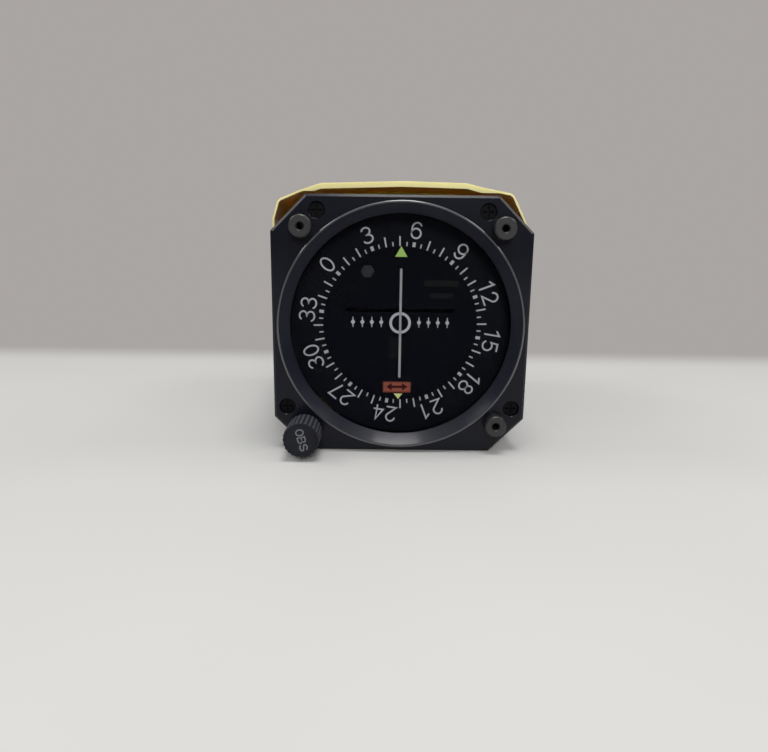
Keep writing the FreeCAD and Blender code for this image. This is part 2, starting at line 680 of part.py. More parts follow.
def compass_card():
    card = tube(CARD_R, CARD_HOLE_R, CARD_Y, CARD_BACK_Y)
    return card.fuse(tube(CARD_SKIRT_R, SKIRT_BORE_R, CARD_BACK_Y, SKIRT_END_Y))


def card_gear():
    end = CARD_MESH_Y + CARD_MESH_WIDTH
    wheel = gear_blank(CARD_TEETH, MODULE, CARD_PHASE, CARD_MESH_Y, end, CARD_AXIS)
    return wheel.cut(cylinder(CARD_SKIRT_R, CARD_MESH_Y, end))


def card_bearing():
    r_out = SKIRT_BORE_R - RUNNING_PLAY
    return tube(r_out, r_out - BEARING_WALL, CARD_BACK_Y + BEARING_FRONT_GAP, GEAR_PLATE_Y)


def dial_pillar_places():
    reach = CARD_HOLE_R - DIAL_PILLAR_EDGE - DIAL_PILLAR_R
    return [turned_point((0.0, 0.0), reach, angle) for angle in DIAL_PILLAR_ANGLES]


def photocell_prism(y0, y1):
    return prism(polygon_points(6, PHOTOCELL_R, (PHOTOCELL_X, PHOTOCELL_Z)), y0, y1)


def centre_dial():
    y0, y1 = FACE_Y, FACE_BACK_Y
    face = cylinder(FACE_R, y0, y1)
    windows = [
        centred_block(0, NEEDLE_ARM_Z, 2 * NEEDLE_SLOT_HALF, NEEDLE_SLOT_HEIGHT, y0, y1),
        centred_block(FLAG_WINDOW_X, FLAG_WINDOW_Z, FLAG_WINDOW_WIDTH, FLAG_WINDOW_HEIGHT, y0, y1),
        centred_block(SENSE_WINDOW_X, SENSE_WINDOW_Z, SENSE_WINDOW_WIDTH, SENSE_WINDOW_HEIGHT, y0, y1),
        centred_block(UPPER_LENS_X, UPPER_LENS_Z, UPPER_LENS_WIDTH, UPPER_LENS_HEIGHT, y0, y1),
        centred_block(LOWER_LENS_X, LOWER_LENS_Z, LOWER_LENS_WIDTH, LOWER_LENS_HEIGHT, y0, y1),
        photocell_prism(y0, y1),
    ]
    return cut_all(face, windows)


def annunciator_lens(x, z, width, height):
    return centred_block(x, z, width, height, FACE_BACK_Y - LENS_THICK, FACE_BACK_Y)


def photocell_lens():
    return photocell_prism(FACE_Y - PHOTOCELL_PROUD, FACE_BACK_Y)


def dial_pillars():
    return Part.makeCompound([
        cylinder(DIAL_PILLAR_R, FACE_BACK_Y, GEAR_PLATE_Y, place) for place in dial_pillar_places()])


def arm_travel(pivot_y, y, swing):
    """How far an arm moves sideways at this depth when its pivot turns by this angle."""
    return (pivot_y - y) * math.sin(math.radians(swing))


def gear_plate():
    y0, y1 = GEAR_PLATE_Y, GEAR_PLATE_BACK_Y
    plate = octagon_plate(CAVITY_HALF - SLIDE_PLAY, CAVITY_REACH - SLIDE_PLAY, y0, y1)
    needle_travel = arm_travel(NEEDLE_PIVOT_Y, y0, NEEDLE_SWING)
    sense_travel = arm_travel(MID_PIVOT_Y, y0, SENSE_SWING)
    flag_travel = arm_travel(MID_PIVOT_Y, y0, FLAG_LIFT)
    needle_half = needle_travel + NEEDLE_ARM_WIDTH / 2 + ARM_CLEARANCE
    sense_half = sense_travel + ARM_WIDTH / 2 + ARM_CLEARANCE
    side = ARM_WIDTH + 2 * ARM_CLEARANCE
    cuts = [
        centred_block(0, NEEDLE_ARM_Z, 2 * needle_half, side, y0, y1),
        centred_block(SENSE_ARM_X, SENSE_ARM_Z, 2 * sense_half, side, y0, y1),
        block(FLAG_ARM_X - side / 2, FLAG_ARM_X + side / 2, y0, y1,
              FLAG_ARM_Z - side / 2, FLAG_ARM_Z + flag_travel + side / 2),
        cylinder(IDLER_SHAFT_R + RUNNING_PLAY, y0, y1, IDLER_AXIS),
        cylinder(RESOLVER_SHAFT_R + RUNNING_PLAY, y0, y1, RESOLVER_AXIS),
    ]
    return cut_all(plate, cuts)


def gear_plate_posts():
    posts = [cylinder(POST_SHANK_R, HOUSING_FRONT_BACK_Y, GEAR_PLATE_Y, place)
             for place in mounting_post_places().values()]
    posts.append(cylinder(SIDE_POST_R, HOUSING_FRONT_BACK_Y, GEAR_PLATE_Y, (SIDE_POST_X, SIDE_POST_Z)))
    return Part.makeCompound(posts)


def resolver_post_places():
    return [turned_point(RESOLVER_AXIS, RESOLVER_POST_REACH, angle) for angle in RESOLVER_POST_ANGLES]


def resolver_posts():
    return Part.makeCompound([
        cylinder(RESOLVER_POST_R, GEAR_PLATE_BACK_Y, RESOLVER_PLATE_Y, place) for place in resolver_post_places()])


def resolver_plate():
    corners = [Vector(x, RESOLVER_PLATE_Y, z) for x, z in resolver_post_places()]
    outline = Part.makePolygon(corners + corners[:1]).makeOffset2D(RESOLVER_PLATE_MARGIN)
    plate = Part.Face(outline).extrude(Vector(0, RESOLVER_PLATE_THICK, 0))
    hole_r = RESOLVER_SHAFT_R + 2 * ARM_CLEARANCE
    return plate.cut(cylinder(hole_r, RESOLVER_PLATE_Y, RESOLVER_BODY_Y, RESOLVER_AXIS))


def resolver_body():
    end = RESOLVER_BODY_Y + RESOLVER_LENGTH
    body = cylinder(RESOLVER_R, RESOLVER_BODY_Y, end - RESOLVER_TERMINAL_LENGTH, RESOLVER_AXIS)
    body = body.fuse(cylinder(RESOLVER_TERMINAL_R, end - RESOLVER_TERMINAL_LENGTH, end, RESOLVER_AXIS))
    bore_end = RESOLVER_BODY_Y + RESOLVER_SHAFT_SUNK + END_PLAY
    return body.cut(cylinder(RESOLVER_SHAFT_R + RUNNING_PLAY, RESOLVER_BODY_Y, bore_end, RESOLVER_AXIS))


def resolver_gear():
    end = RESOLVER_MESH_Y + RESOLVER_MESH_WIDTH
    wheel = gear_blank(RESOLVER_TEETH, RESOLVER_MODULE, RESOLVER_PHASE, RESOLVER_MESH_Y, end, RESOLVER_AXIS)
    hub = cylinder(RESOLVER_HUB_R, RESOLVER_MESH_Y - MESH_STEP / 2, end, RESOLVER_AXIS)
    shaft_end = RESOLVER_BODY_Y + RESOLVER_SHAFT_SUNK
    shaft = cylinder(RESOLVER_SHAFT_R, GEAR_PLATE_Y + END_PLAY, shaft_end, RESOLVER_AXIS)
    return joined(wheel, [hub, shaft])


def placed_meter(shape, pivot, sideways):
    """A meter piece is drawn with its pivot upright at the origin; a sideways one lies along X."""
    moved = shape.copy()
    if sideways:
        moved.rotate(Vector(0, 0, 0), Vector(0, 1, 0), 90)
    moved.translate(Vector(*pivot))
    return moved


def meter_core(pivot, sideways=False):
    core = Part.makeCylinder(CORE_R, 2 * CORE_HALF, Vector(0, 0, -CORE_HALF))
    web_y = BRACKET_REACH - BRACKET_WEB_THICK
    stem = block(-STEM_HALF, STEM_HALF, CORE_R / 2, web_y, -STEM_HALF, STEM_HALF)
    return placed_meter(core.fuse(stem), pivot, sideways)


def meter_coil(pivot, sideways=False):
    t = COIL_HALF_THICK
    outer = block(-COIL_HALF_WIDTH, COIL_HALF_WIDTH, -t, t, -COIL_HALF_HEIGHT, COIL_HALF_HEIGHT)
    w = COIL_HALF_WIDTH - COIL_BAR
    h = COIL_HALF_HEIGHT - COIL_BAR
    coil = outer.cut(block(-w, w, -t, t, -h, h))
    top = Part.makeCylinder(PIVOT_R, PIVOT_LENGTH, Vector(0, 0, COIL_HALF_HEIGHT))
    bottom = Part.makeCylinder(PIVOT_R, PIVOT_LENGTH, Vector(0, 0, -COIL_HALF_HEIGHT - PIVOT_LENGTH))
    return placed_meter(joined(coil, [top, bottom]), pivot, sideways)


def meter_bracket(pivot, sideways=False):
    near = COIL_HALF_HEIGHT + BRACKET_GAP
    far = near + BRACKET_SHEET
    web_y = BRACKET_REACH - BRACKET_WEB_THICK
    front = -BRACKET_ARM_HALF
    web = block(-BRACKET_WEB_HALF, BRACKET_WEB_HALF, web_y, BRACKET_REACH, -far, far)
    upper = block(-BRACKET_ARM_HALF, BRACKET_ARM_HALF, front, web_y, near, far)
    lower = block(-BRACKET_ARM_HALF, BRACKET_ARM_HALF, front, web_y, -far, -near)
    bracket = joined(web, [upper, lower])
    hole = Part.makeCylinder(PIVOT_R + RUNNING_PLAY, 2 * far, Vector(0, 0, -far))
    return placed_meter(bracket.cut(hole), pivot, sideways)


NEEDLE_PIVOT = (0.0, NEEDLE_PIVOT_Y, NEEDLE_ARM_Z - COIL_ARM_OFFSET)
SENSE_PIVOT = (SENSE_ARM_X, MID_PIVOT_Y, SENSE_ARM_Z - COIL_ARM_OFFSET)
FLAG_PIVOT = (FLAG_ARM_X + COIL_ARM_OFFSET, MID_PIVOT_Y, FLAG_ARM_Z)


def pointer_arm(x, z, width, y0, pivot_y):
    """A thin arm that runs back from a pointer to the front of its coil."""
    return centred_block(x, z, width, width, y0, pivot_y - COIL_HALF_THICK)


def cdi_needle():
    middle = (NEEDLE_TOP + NEEDLE_BOTTOM) / 2
    height = NEEDLE_TOP - NEEDLE_BOTTOM
    pointer = centred_block(0, middle, NEEDLE_WIDTH, height, NEEDLE_Y, NEEDLE_Y + NEEDLE_THICK)
    return pointer.fuse(pointer_arm(0, NEEDLE_ARM_Z, NEEDLE_ARM_WIDTH, NEEDLE_Y + NEEDLE_THICK, NEEDLE_PIVOT_Y))


def nav_flag():
    width = FLAG_WINDOW_WIDTH - 2 * FLAG_MARGIN
    height = FLAG_WINDOW_HEIGHT - 2 * FLAG_MARGIN
    vane = centred_block(FLAG_WINDOW_X, FLAG_WINDOW_Z, width, height, FLAG_Y, FLAG_Y + VANE_THICK)
    return vane.fuse(pointer_arm(FLAG_ARM_X, FLAG_ARM_Z, ARM_WIDTH, FLAG_Y + VANE_THICK, MID_PIVOT_Y))


def to_from_vane():
    height = SENSE_WINDOW_HEIGHT + 2 * SENSE_VANE_MARGIN
    vane = centred_block(SENSE_WINDOW_X, SENSE_WINDOW_Z, SENSE_VANE_WIDTH, height, SENSE_Y, SENSE_Y + VANE_THICK)
    return vane.fuse(pointer_arm(SENSE_ARM_X, SENSE_ARM_Z, ARM_WIDTH, SENSE_Y + VANE_THICK, MID_PIVOT_Y))


def chassis_pillar_places():
    return [(side * CHASSIS_PILLAR_X, z) for side in (-1, 1) for z in (CHASSIS_PILLAR_LOW, CHASSIS_PILLAR_TOP)]


def chassis_pillars(y0, y1, bored_from=None):
    pillars = []
    for place in chassis_pillar_places():
        pillar = cylinder(CHASSIS_PILLAR_R, y0, y1, place)
        if bored_from is not None:
            pillar = pillar.cut(cylinder(CASE_SCREW_SHANK_R, bored_from, y1, place))
        pillars.append(pillar)
    return Part.makeCompound(pillars)


def mid_plate():
    y0, y1 = MID_PLATE_Y, MID_PLATE_Y + MID_PLATE_THICK
    left = -CHASSIS_PILLAR_X - CHASSIS_PILLAR_R
    plate = block(left, BOARD_X, y0, y1, -MID_PLATE_HALF_HEIGHT, MID_PLATE_HALF_HEIGHT)
    half = arm_travel(NEEDLE_PIVOT_Y, y0, NEEDLE_SWING) + NEEDLE_ARM_WIDTH / 2 + ARM_CLEARANCE
    side = NEEDLE_ARM_WIDTH + 2 * ARM_CLEARANCE
    return plate.cut(centred_block(0, NEEDLE_ARM_Z, 2 * half, side, y0, y1))


def rear_case():
    shell = octagon_plate(CASE_HALF, CASE_REACH, CASE_FRONT_Y, CASE_END_Y)
    return shell.cut(octagon_plate(CASE_HALF - CASE_WALL, CASE_REACH - CASE_WALL, CASE_FRONT_Y, CASE_END_Y))


def connector_outline(width, height):
    """The slanted outline of the connector's shell: wider at its top."""
    half = width / 2
    slant = height * math.tan(math.radians(CONNECTOR_SHELL_SLOPE))
    top = CONNECTOR_Z + height / 2
    low = CONNECTOR_Z - height / 2
    return [(half, top), (half - slant, low), (-half + slant, low), (-half, top)]


def jack_places():
    return [(-JACK_SPACING / 2, CONNECTOR_Z), (JACK_SPACING / 2, CONNECTOR_Z)]


def rear_plate():
    y0, y1 = CASE_END_Y, REAR_PLATE_BACK_Y
    plate = octagon_plate(CASE_HALF, CASE_REACH, y0, y1)
    plate = plate.makeChamfer(FLANGE_EDGE_BREAK, edges_at_y(plate, y1))
    cuts = [prism(connector_outline(CONNECTOR_SHELL_WIDTH, CONNECTOR_SHELL_HEIGHT), y0, y1)]
    cuts += [cylinder(CASE_SCREW_SHANK_R, y0, y1, place) for place in chassis_pillar_places()]
    cuts += [cylinder(JACK_HOLE_R, y0, y1, place) for place in jack_places()]
    return cut_all(plate, cuts)


def case_screws():
    screws = []
    y = REAR_PLATE_BACK_Y
    for place in chassis_pillar_places():
        head = cylinder(CASE_SCREW_R, y, y + CASE_SCREW_HEAD, place)
        head = head.makeChamfer(CASE_SCREW_HEAD / 4, edges_at_y(head, y + CASE_SCREW_HEAD))
        screw = head.fuse(cylinder(CASE_SCREW_SHANK_R, y - CASE_SCREW_LENGTH, y, place))
        drive_y = y + CASE_SCREW_HEAD - DRIVE_DEPTH
        screws.append(screw.cut(cross_recess(place, drive_y, CASE_SCREW_R * 0.65)))
    return Part.makeCompound(screws)


def main_board():
    return block(BOARD_X, BOARD_X + BOARD_THICK, BOARD_FRONT_Y, CASE_END_Y, -BOARD_HALF_HEIGHT, BOARD_HALF_HEIGHT)


def board_parts():
    """Chips and capacitors on the inner side of the board, clear of the middle plate."""
    found = []
    x1 = BOARD_X
    row_z = BOARD_HALF_HEIGHT / 3
    y = BOARD_FRONT_Y + CHIP_WIDTH
    while y + CHIP_WIDTH < MID_PLATE_Y:
        for z in (-row_z, row_z):
            found.append(block(x1 - CHIP_THICK, x1, y - CHIP_WIDTH / 2, y + CHIP_WIDTH / 2,
                               z - CHIP_LENGTH / 2, z + CHIP_LENGTH / 2))
        y += CHIP_PITCH
    y = MID_PLATE_Y + CHIP_PITCH
    for z in (-2 * row_z, 0.75 * row_z):
        base = Vector(x1 - CAPACITOR_HEIGHT, y, z)
        found.append(Part.makeCylinder(CAPACITOR_R, CAPACITOR_HEIGHT, base, Vector(1, 0, 0)))
    return Part.makeCompound(found)


def rear_connector():
    y0 = REAR_PLATE_BACK_Y
    y1 = y0 + CONNECTOR_FLANGE_THICK
    y2 = y1 + CONNECTOR_SHELL_LENGTH
    flange = centred_block(0, CONNECTOR_Z, CONNECTOR_FLANGE_WIDTH, CONNECTOR_FLANGE_HEIGHT, y0, y1)
    flange = flange.makeFillet(CONNECTOR_FLANGE_THICK, edges_along_y(flange))
    shell = prism(connector_outline(CONNECTOR_SHELL_WIDTH, CONNECTOR_SHELL_HEIGHT), y1, y2)
    wall = 2 * CONNECTOR_SHELL_WALL
    inner = connector_outline(CONNECTOR_SHELL_WIDTH - wall, CONNECTOR_SHELL_HEIGHT - wall)
    shell = flange.fuse(shell).cut(prism(inner, y0, y2))
    return cut_all(shell, [cylinder(JACK_HOLE_R, y0, y1, place) for place in jack_places()])


def connector_insulator():
    wall = 2 * CONNECTOR_SHELL_WALL
    outline = connector_outline(CONNECTOR_SHELL_WIDTH - wall, CONNECTOR_SHELL_HEIGHT - wall)
    y0 = CASE_END_Y - CONNECTOR_INNER_LENGTH
    y1 = REAR_PLATE_BACK_Y + CONNECTOR_FLANGE_THICK + CONNECTOR_SHELL_LENGTH - CONNECTOR_SHELL_WALL
    body = prism(outline, y0, y1)
    sockets = []
    for row, count in ((1, CONTACTS_TOP), (-1, CONTACTS_TOP - 1)):
        z = CONNECTOR_Z + row * CONTACT_ROW_GAP / 2
        for i in range(count):
            x = (i - (count - 1) / 2) * CONTACT_PITCH
            sockets.append(prism(polygon_points(6, CONTACT_R, (x, z)), y1 - CONTACT_DEPTH, y1))
    return body.cut(Part.makeCompound(sockets))


def connector_jacks():
    """Hex jack posts that hold the connector to the rear plate."""
    found = []
    y0 = REAR_PLATE_BACK_Y + CONNECTOR_FLANGE_THICK
    y1 = y0 + JACK_LENGTH
    for place in jack_places():
        post = prism(polygon_points(6, JACK_R, place, JACK_TURN), y0, y1)
        post = post.cut(cylinder(JACK_HOLE_R, y0 + JACK_LENGTH / 4, y1, place))
        found.append(post.fuse(cylinder(JACK_HOLE_R, CASE_END_Y, y0, place)))
    return Part.makeCompound(found)


def cover_points():
    """The bent outline of the cover, from the foot of its left leg to the foot of its right one."""
    half = HOUSING_HALF + COVER_SHEET
    foot = HOUSING_HALF - COVER_LEG_DROP
    left = [(inset - half, HOUSING_HALF + rise) for inset, rise in COVER_LEFT_BENDS]
    right = [(half - inset, HOUSING_HALF + rise) for inset, rise in COVER_RIGHT_BENDS]
    return [(-half, foot)] + left + [(0, HOUSING_HALF + COVER_CREST)] + right[::-1] + [(half, foot)]


def cover_block(y0, y1, drop=0.0):
    """The space under the cover's outline, with its bends rounded."""
    bar = prism([(x, z - drop) for x, z in cover_points()], y0, y1)
    foot = HOUSING_HALF - COVER_LEG_DROP - drop
    bends = [edge for edge in edges_along_y(bar) if edge.Vertexes[0].Point.z > foot + COVER_SHEET]
    return bar.makeFillet(COVER_BEND_R, bends)


def top_cover():
    end_y = COVER_Y + COVER_LENGTH
    space = cover_block(COVER_Y, end_y)
    foot = HOUSING_HALF - COVER_LEG_DROP
    open_faces = [face for face in space.Faces if abs(face.CenterOfMass.y - COVER_Y) < COVER_SHEET
                  or abs(face.CenterOfMass.z - foot) < COVER_SHEET]
    sheet = space.makeThickness(open_faces, -COVER_SHEET, 0.001)
    lip_end_y = COVER_Y + COVER_SHEET
    lip = cover_block(COVER_Y, lip_end_y).cut(cover_block(COVER_Y, lip_end_y, COVER_LIP))
    half = 2 * HOUSING_HALF
    above = block(-half, half, COVER_Y, lip_end_y, HOUSING_HALF + COVER_LIP_RISE, half)
    cover = sheet.fuse(lip.common(above)).removeSplitter()
    return cover.cut(octagon_plate(HOUSING_HALF, HOUSING_REACH, COVER_Y, end_y))


def all_pieces():
    pieces = {
        "front_flange": front_flange(),
        "bezel_ring": bezel_ring(),
        "glass_gasket": glass_gasket(),
        "window_glass": window_glass(),
        "lens_spacer": lens_spacer(),
        "front_housing": front_housing(),
        "obs_bushing": obs_bushing(),
        "obs_knob": obs_knob(),
        "knob_set_screw": knob_set_screw(),
        "obs_shaft": obs_shaft(),
        "obs_pinion": obs_pinion(),
        "idler_cluster": idler_cluster(),
        "compass_card": compass_card(),
        "card_gear": card_gear(),
        "card_bearing": card_bearing(),
        "centre_dial": centre_dial(),
        "annunciator_lens_upper": annunciator_lens(UPPER_LENS_X, UPPER_LENS_Z, UPPER_LENS_WIDTH, UPPER_LENS_HEIGHT),
        "annunciator_lens_lower": annunciator_lens(LOWER_LENS_X, LOWER_LENS_Z, LOWER_LENS_WIDTH, LOWER_LENS_HEIGHT),
        "photocell_lens": photocell_lens(),
        "dial_pillars": dial_pillars(),
        "gear_plate": gear_plate(),
        "gear_plate_posts": gear_plate_posts(),
        "resolver_posts": resolver_posts(),
        "resolver_plate": resolver_plate(),
        "resolver_body": resolver_body(),
        "resolver_gear": resolver_gear(),
        "cdi_needle": cdi_needle(),
        "needle_coil": meter_coil(NEEDLE_PIVOT),
        "needle_core": meter_core(NEEDLE_PIVOT),
        "needle_bracket": meter_bracket(NEEDLE_PIVOT),
        "nav_flag": nav_flag(),
        "flag_coil": meter_coil(FLAG_PIVOT, sideways=True),
        "flag_core": meter_core(FLAG_PIVOT, sideways=True),
        "flag_bracket": meter_bracket(FLAG_PIVOT, sideways=True),
        "to_from_vane": to_from_vane(),
        "to_from_coil": meter_coil(SENSE_PIVOT),
        "to_from_core": meter_core(SENSE_PIVOT),
        "to_from_bracket": meter_bracket(SENSE_PIVOT),
        "chassis_pillars_front": chassis_pillars(GEAR_PLATE_BACK_Y, MID_PLATE_Y),
        "mid_plate": mid_plate(),
        "chassis_pillars_rear": chassis_pillars(
            MID_PLATE_Y + MID_PLATE_THICK, CASE_END_Y, REAR_PLATE_BACK_Y - CASE_SCREW_LENGTH),
        "main_board": main_board(),
        "board_parts": board_parts(),
        "rear_case": rear_case(),
        "rear_plate": rear_plate(),
        "case_screws": case_screws(),
        "rear_connector": rear_connector(),
        "connector_insulator": connector_insulator(),
        "connector_jacks": connector_jacks(),
        "top_cover": top_cover(),
    }
    for name, place in mounting_post_places().items():
        pieces["mounting_post_" + name] = mounting_post(place)
    for i, place in enumerate(flange_screw_places()):
        pieces["flange_screw_%d" % (i + 1)] = flange_screw(place)
    return pieces


os.makedirs("parts", exist_ok=True)
for name, shape in all_pieces().items():
    shape.exportStep(os.path.join("parts", name + ".step"))
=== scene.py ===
import bpy
import bmesh
import math
from mathutils import Matrix, Vector


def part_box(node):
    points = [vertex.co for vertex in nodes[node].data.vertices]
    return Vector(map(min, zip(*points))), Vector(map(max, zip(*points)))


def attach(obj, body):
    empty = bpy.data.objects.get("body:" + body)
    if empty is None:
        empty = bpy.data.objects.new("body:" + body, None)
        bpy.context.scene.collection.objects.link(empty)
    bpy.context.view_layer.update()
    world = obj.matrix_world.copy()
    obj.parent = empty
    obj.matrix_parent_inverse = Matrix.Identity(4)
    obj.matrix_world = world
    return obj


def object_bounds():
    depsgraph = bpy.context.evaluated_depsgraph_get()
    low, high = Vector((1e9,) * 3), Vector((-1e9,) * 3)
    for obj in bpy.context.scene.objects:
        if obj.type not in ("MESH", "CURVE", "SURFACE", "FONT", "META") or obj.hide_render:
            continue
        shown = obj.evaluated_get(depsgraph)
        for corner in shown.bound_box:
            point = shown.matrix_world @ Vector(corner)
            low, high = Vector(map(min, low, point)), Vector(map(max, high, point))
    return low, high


# The CAD nodes are the visible shapes. This script gives them their materials, adds the flat
# print of the card, the face, the flag, the vane and the knob, and sets camera, floor and lights.

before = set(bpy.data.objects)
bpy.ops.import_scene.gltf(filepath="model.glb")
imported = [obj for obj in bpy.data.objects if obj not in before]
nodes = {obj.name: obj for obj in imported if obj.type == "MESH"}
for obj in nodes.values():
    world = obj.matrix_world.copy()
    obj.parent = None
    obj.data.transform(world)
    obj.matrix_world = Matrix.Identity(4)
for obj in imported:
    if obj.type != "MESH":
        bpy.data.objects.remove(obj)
cad_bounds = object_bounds()
MM = 0.001


def low(node):
    """The low corner of a node's box, in millimetres."""
    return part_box(node)[0] / MM


def high(node):
    """The high corner of a node's box, in millimetres."""
    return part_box(node)[1] / MM


def middle(node):
    return (low(node) + high(node)) / 2


# Where the printed faces lie along Y, in millimetres
FACE_Y = low("centre_dial").y
CARD_Y = low("compass_card").y
FLAG_Y = low("nav_flag").y
SENSE_Y = low("to_from_vane").y

# Printed marks, in millimetres and degrees
PRINT_THICK = 0.06
CARD_HEADING = 51.0
NUMBER_RADIUS = 31.1
NUMBER_HEIGHT = 5.5
NUMBER_WIDTH = 3.6
NUMBER_STROKE = 0.54
NUMBER_GAP = 0.75
TICK_INNER = 25.75
TICK_LONG = 28.9
TICK_SHORT = 27.1
TICK_WIDTH = 0.48
TICK_SHORT_WIDTH = 0.4
TICK_BOLD_OUTER = 27.25
TICK_BOLD_WIDTH = 1.0
INDEX_APEX = 25.7
INDEX_BASE = 22.3
INDEX_HALF = 2.0
LOWER_INDEX_X = -0.3
LOWER_INDEX_APEX = -25.45
LOWER_INDEX_BASE = -23.55
LOWER_INDEX_HALF = 1.45
CIRCLE_RADIUS = 3.15
CIRCLE_STROKE = 0.86
CIRCLE_Z = 0.65
CIRCLE_STEPS = 64
DOT_PLACES = (-5, -4, -3, -2, 2, 3, 4, 5)
DOT_PITCH = 3.14
DOT_HEIGHT = 3.35
DOT_LINE_WIDTH = 0.28
DOT_WIDTH = 1.5
DOT_BODY = 1.9
DOT_Z = 0.85
LABEL_TURN = 76.0
LABEL_HEIGHT = 2.75
LABEL_WIDTH = 2.25
LABEL_STROKE = 0.4
LABEL_GAP = 0.25
LABEL_X = 0.2
KNOB_DISH = 0.3
FLAG_BORDER = 0.4
FLAG_ARROW_HALF = 3.65
FLAG_HEAD_LENGTH = 1.9
FLAG_HEAD_HALF = 1.3
FLAG_SHAFT_HALF = 0.4
SENSE_ARROW_X = 6.35
SENSE_ARROW_HALF = 1.5
SENSE_ARROW_RISE = 2.4

# How strokes turn corners and end: no longer than tiny counts as nothing
TINY = 1e-9
CORNER_LEAST = 0.35
CORNER_STRETCH = 2.2
END_ANGLES = (35, 65, 88)

# Radii in millimetres between which the ring turns into its shiny lip, and the flutes' ground
# into the ridges of the knob, which carry a painted highlight
LIP_START = 38.72
LIP_FULL = 38.8
RIDGE_START = 5.5
RIDGE_FULL = 5.7

# Camera, in millimetres and degrees, with its clipping in metres
CAMERA_AT = (-5.901, -197.29, 26.468)
CAMERA_DOWN = 12.104
CAMERA_TURN = -0.212
CAMERA_ROLL = 0.716
CAMERA_LENS = 28.965
CAMERA_SENSOR = 36.0
CLIP_START = 0.005
CLIP_END = 20.0

# Stage, in metres: the floor takes on the backdrop's tone beyond the seam and far out
FLOOR_Z = cad_bounds[0].z
FLOOR_HALF = 4.0
FLOOR_TONES = [(0.3, (0.535, 0.53, 0.515)), (0.7, (0.57, 0.565, 0.55))]
SEAM_NEAR = 0.150
SEAM_FAR = 0.205
ROUND_NEAR = 0.4
ROUND_FAR = 0.8
BACKDROP = (0.398, 0.376, 0.366)
SKY_TONES = [(0.0, (0.06, 0.06, 0.07)), (0.4, (0.6, 0.6, 0.6)), (0.9, (1.7, 1.7, 1.7))]
SKY_STRENGTH = 0.35

# Lights: name, place and size in metres, power in watts. All of them face the origin.
LIGHTS = [
    ("overhead", (0.05, -0.1, 0.9), 0.42, 4.4),
    ("left_box", (-0.85, 0.12, 0.8), 0.5, 2.4),
    ("right_box", (0.85, 0.12, 0.8), 0.5, 2.4),
    ("front_fill", (0.1, -0.95, 0.5), 0.35, 4.5),
]


# Characters


def arc(cx, cz, rx, rz, start, end, steps=18):
    """Points on an ellipse between two angles in degrees."""
    points = []
    for i in range(steps + 1):
        a = math.radians(start + (end - start) * i / steps)
        points.append((cx + rx * math.cos(a), cz + rz * math.sin(a)))
    return points


def loop(cx, cz, rx, rz, steps=36):
    """Points all the way round an ellipse, from its top and clockwise."""
    return arc(cx, cz, rx, rz, 90, -270, steps)[:-1]


def six():
    hook = arc(0.52, 0.62, 0.52, 0.38, 38, 180) + [(0.0, 0.31)]
    return [(hook, False), (loop(0.5, 0.31, 0.5, 0.31), True)]


def turned_over(strokes):
    return [([(1 - u, 1 - v) for u, v in path], closed) for path, closed in strokes]


# Each character is a list of strokes in a unit box: the path, and whether it closes
GLYPHS = {
    "0": [(loop(0.5, 0.5, 0.5, 0.5), True)],
    "1": [([(0.22, 0.8), (0.66, 1.0), (0.66, 0.0)], False)],
    "2": [(arc(0.5, 0.7, 0.47, 0.3, 168, -28) + [(0.0, 0.0), (1.0, 0.0)], False)],
    "3": [(arc(0.45, 0.76, 0.45, 0.24, 155, -90) + arc(0.45, 0.26, 0.52, 0.26, 88, -155), False)],
    "4": [([(0.7, 0.0), (0.7, 1.0), (0.0, 0.27), (1.0, 0.27)], False)],
    "5": [([(0.92, 1.0), (0.17, 1.0), (0.08, 0.55)]
           + arc(0.46, 0.32, 0.52, 0.32, 122, -150), False)],
    "6": six(),
    "7": [([(0.0, 1.0), (1.0, 1.0), (0.35, 0.0)], False)],
    "8": [(loop(0.5, 0.76, 0.42, 0.24), True), (loop(0.5, 0.27, 0.5, 0.27), True)],
    "9": turned_over(six()),
    "O": [(loop(0.5, 0.5, 0.5, 0.5), True)],
    "B": [([(0.0, 0.52), (0.5, 0.52)] + arc(0.5, 0.76, 0.42, 0.24, -85, 90)
           + [(0.0, 1.0), (0.0, 0.0)] + arc(0.5, 0.26, 0.5, 0.26, -90, 85), False)],
    "S": [(arc(0.5, 0.75, 0.46, 0.25, 20, 268) + arc(0.5, 0.25, 0.5, 0.25, 88, -160), False)],
}


# Flat print in the plane across Y. Outlines and paths are (x, z) points in millimetres, and
# the print stands out from its face by its thickness.


def add_prism(bm, outline, face_y):
    """A closed prism over an outline."""
    front = [bm.verts.new((x * MM, (face_y - PRINT_THICK) * MM, z * MM)) for x, z in outline]
    back = [bm.verts.new((x * MM, face_y * MM, z * MM)) for x, z in outline]
    bm.faces.new(front)
    bm.faces.new(back[::-1])
    count = len(outline)
    for i in range(count):
        j = (i + 1) % count
        bm.faces.new((front[j], front[i], back[i], back[j]))


def side_offsets(path, closed):
    """The sideways direction at each point of a path, lengthened at corners, and the path's."""
    count = len(path)
    found = []
    for i in range(count):
        before = path[(i - 1) % count] if closed or i > 0 else path[i]
        after = path[(i + 1) % count] if closed or i < count - 1 else path[i]
        a = Vector(path[i]) - Vector(before)
        b = Vector(after) - Vector(path[i])
        a = a.normalized() if a.length > TINY else b.normalized()
        b = b.normalized() if b.length > TINY else a
        along = (a + b).normalized()
        stretch = min(1.0 / max(along.dot(a), CORNER_LEAST), CORNER_STRETCH)
        found.append((Vector((-along.y, along.x)) * stretch, along))
    return found


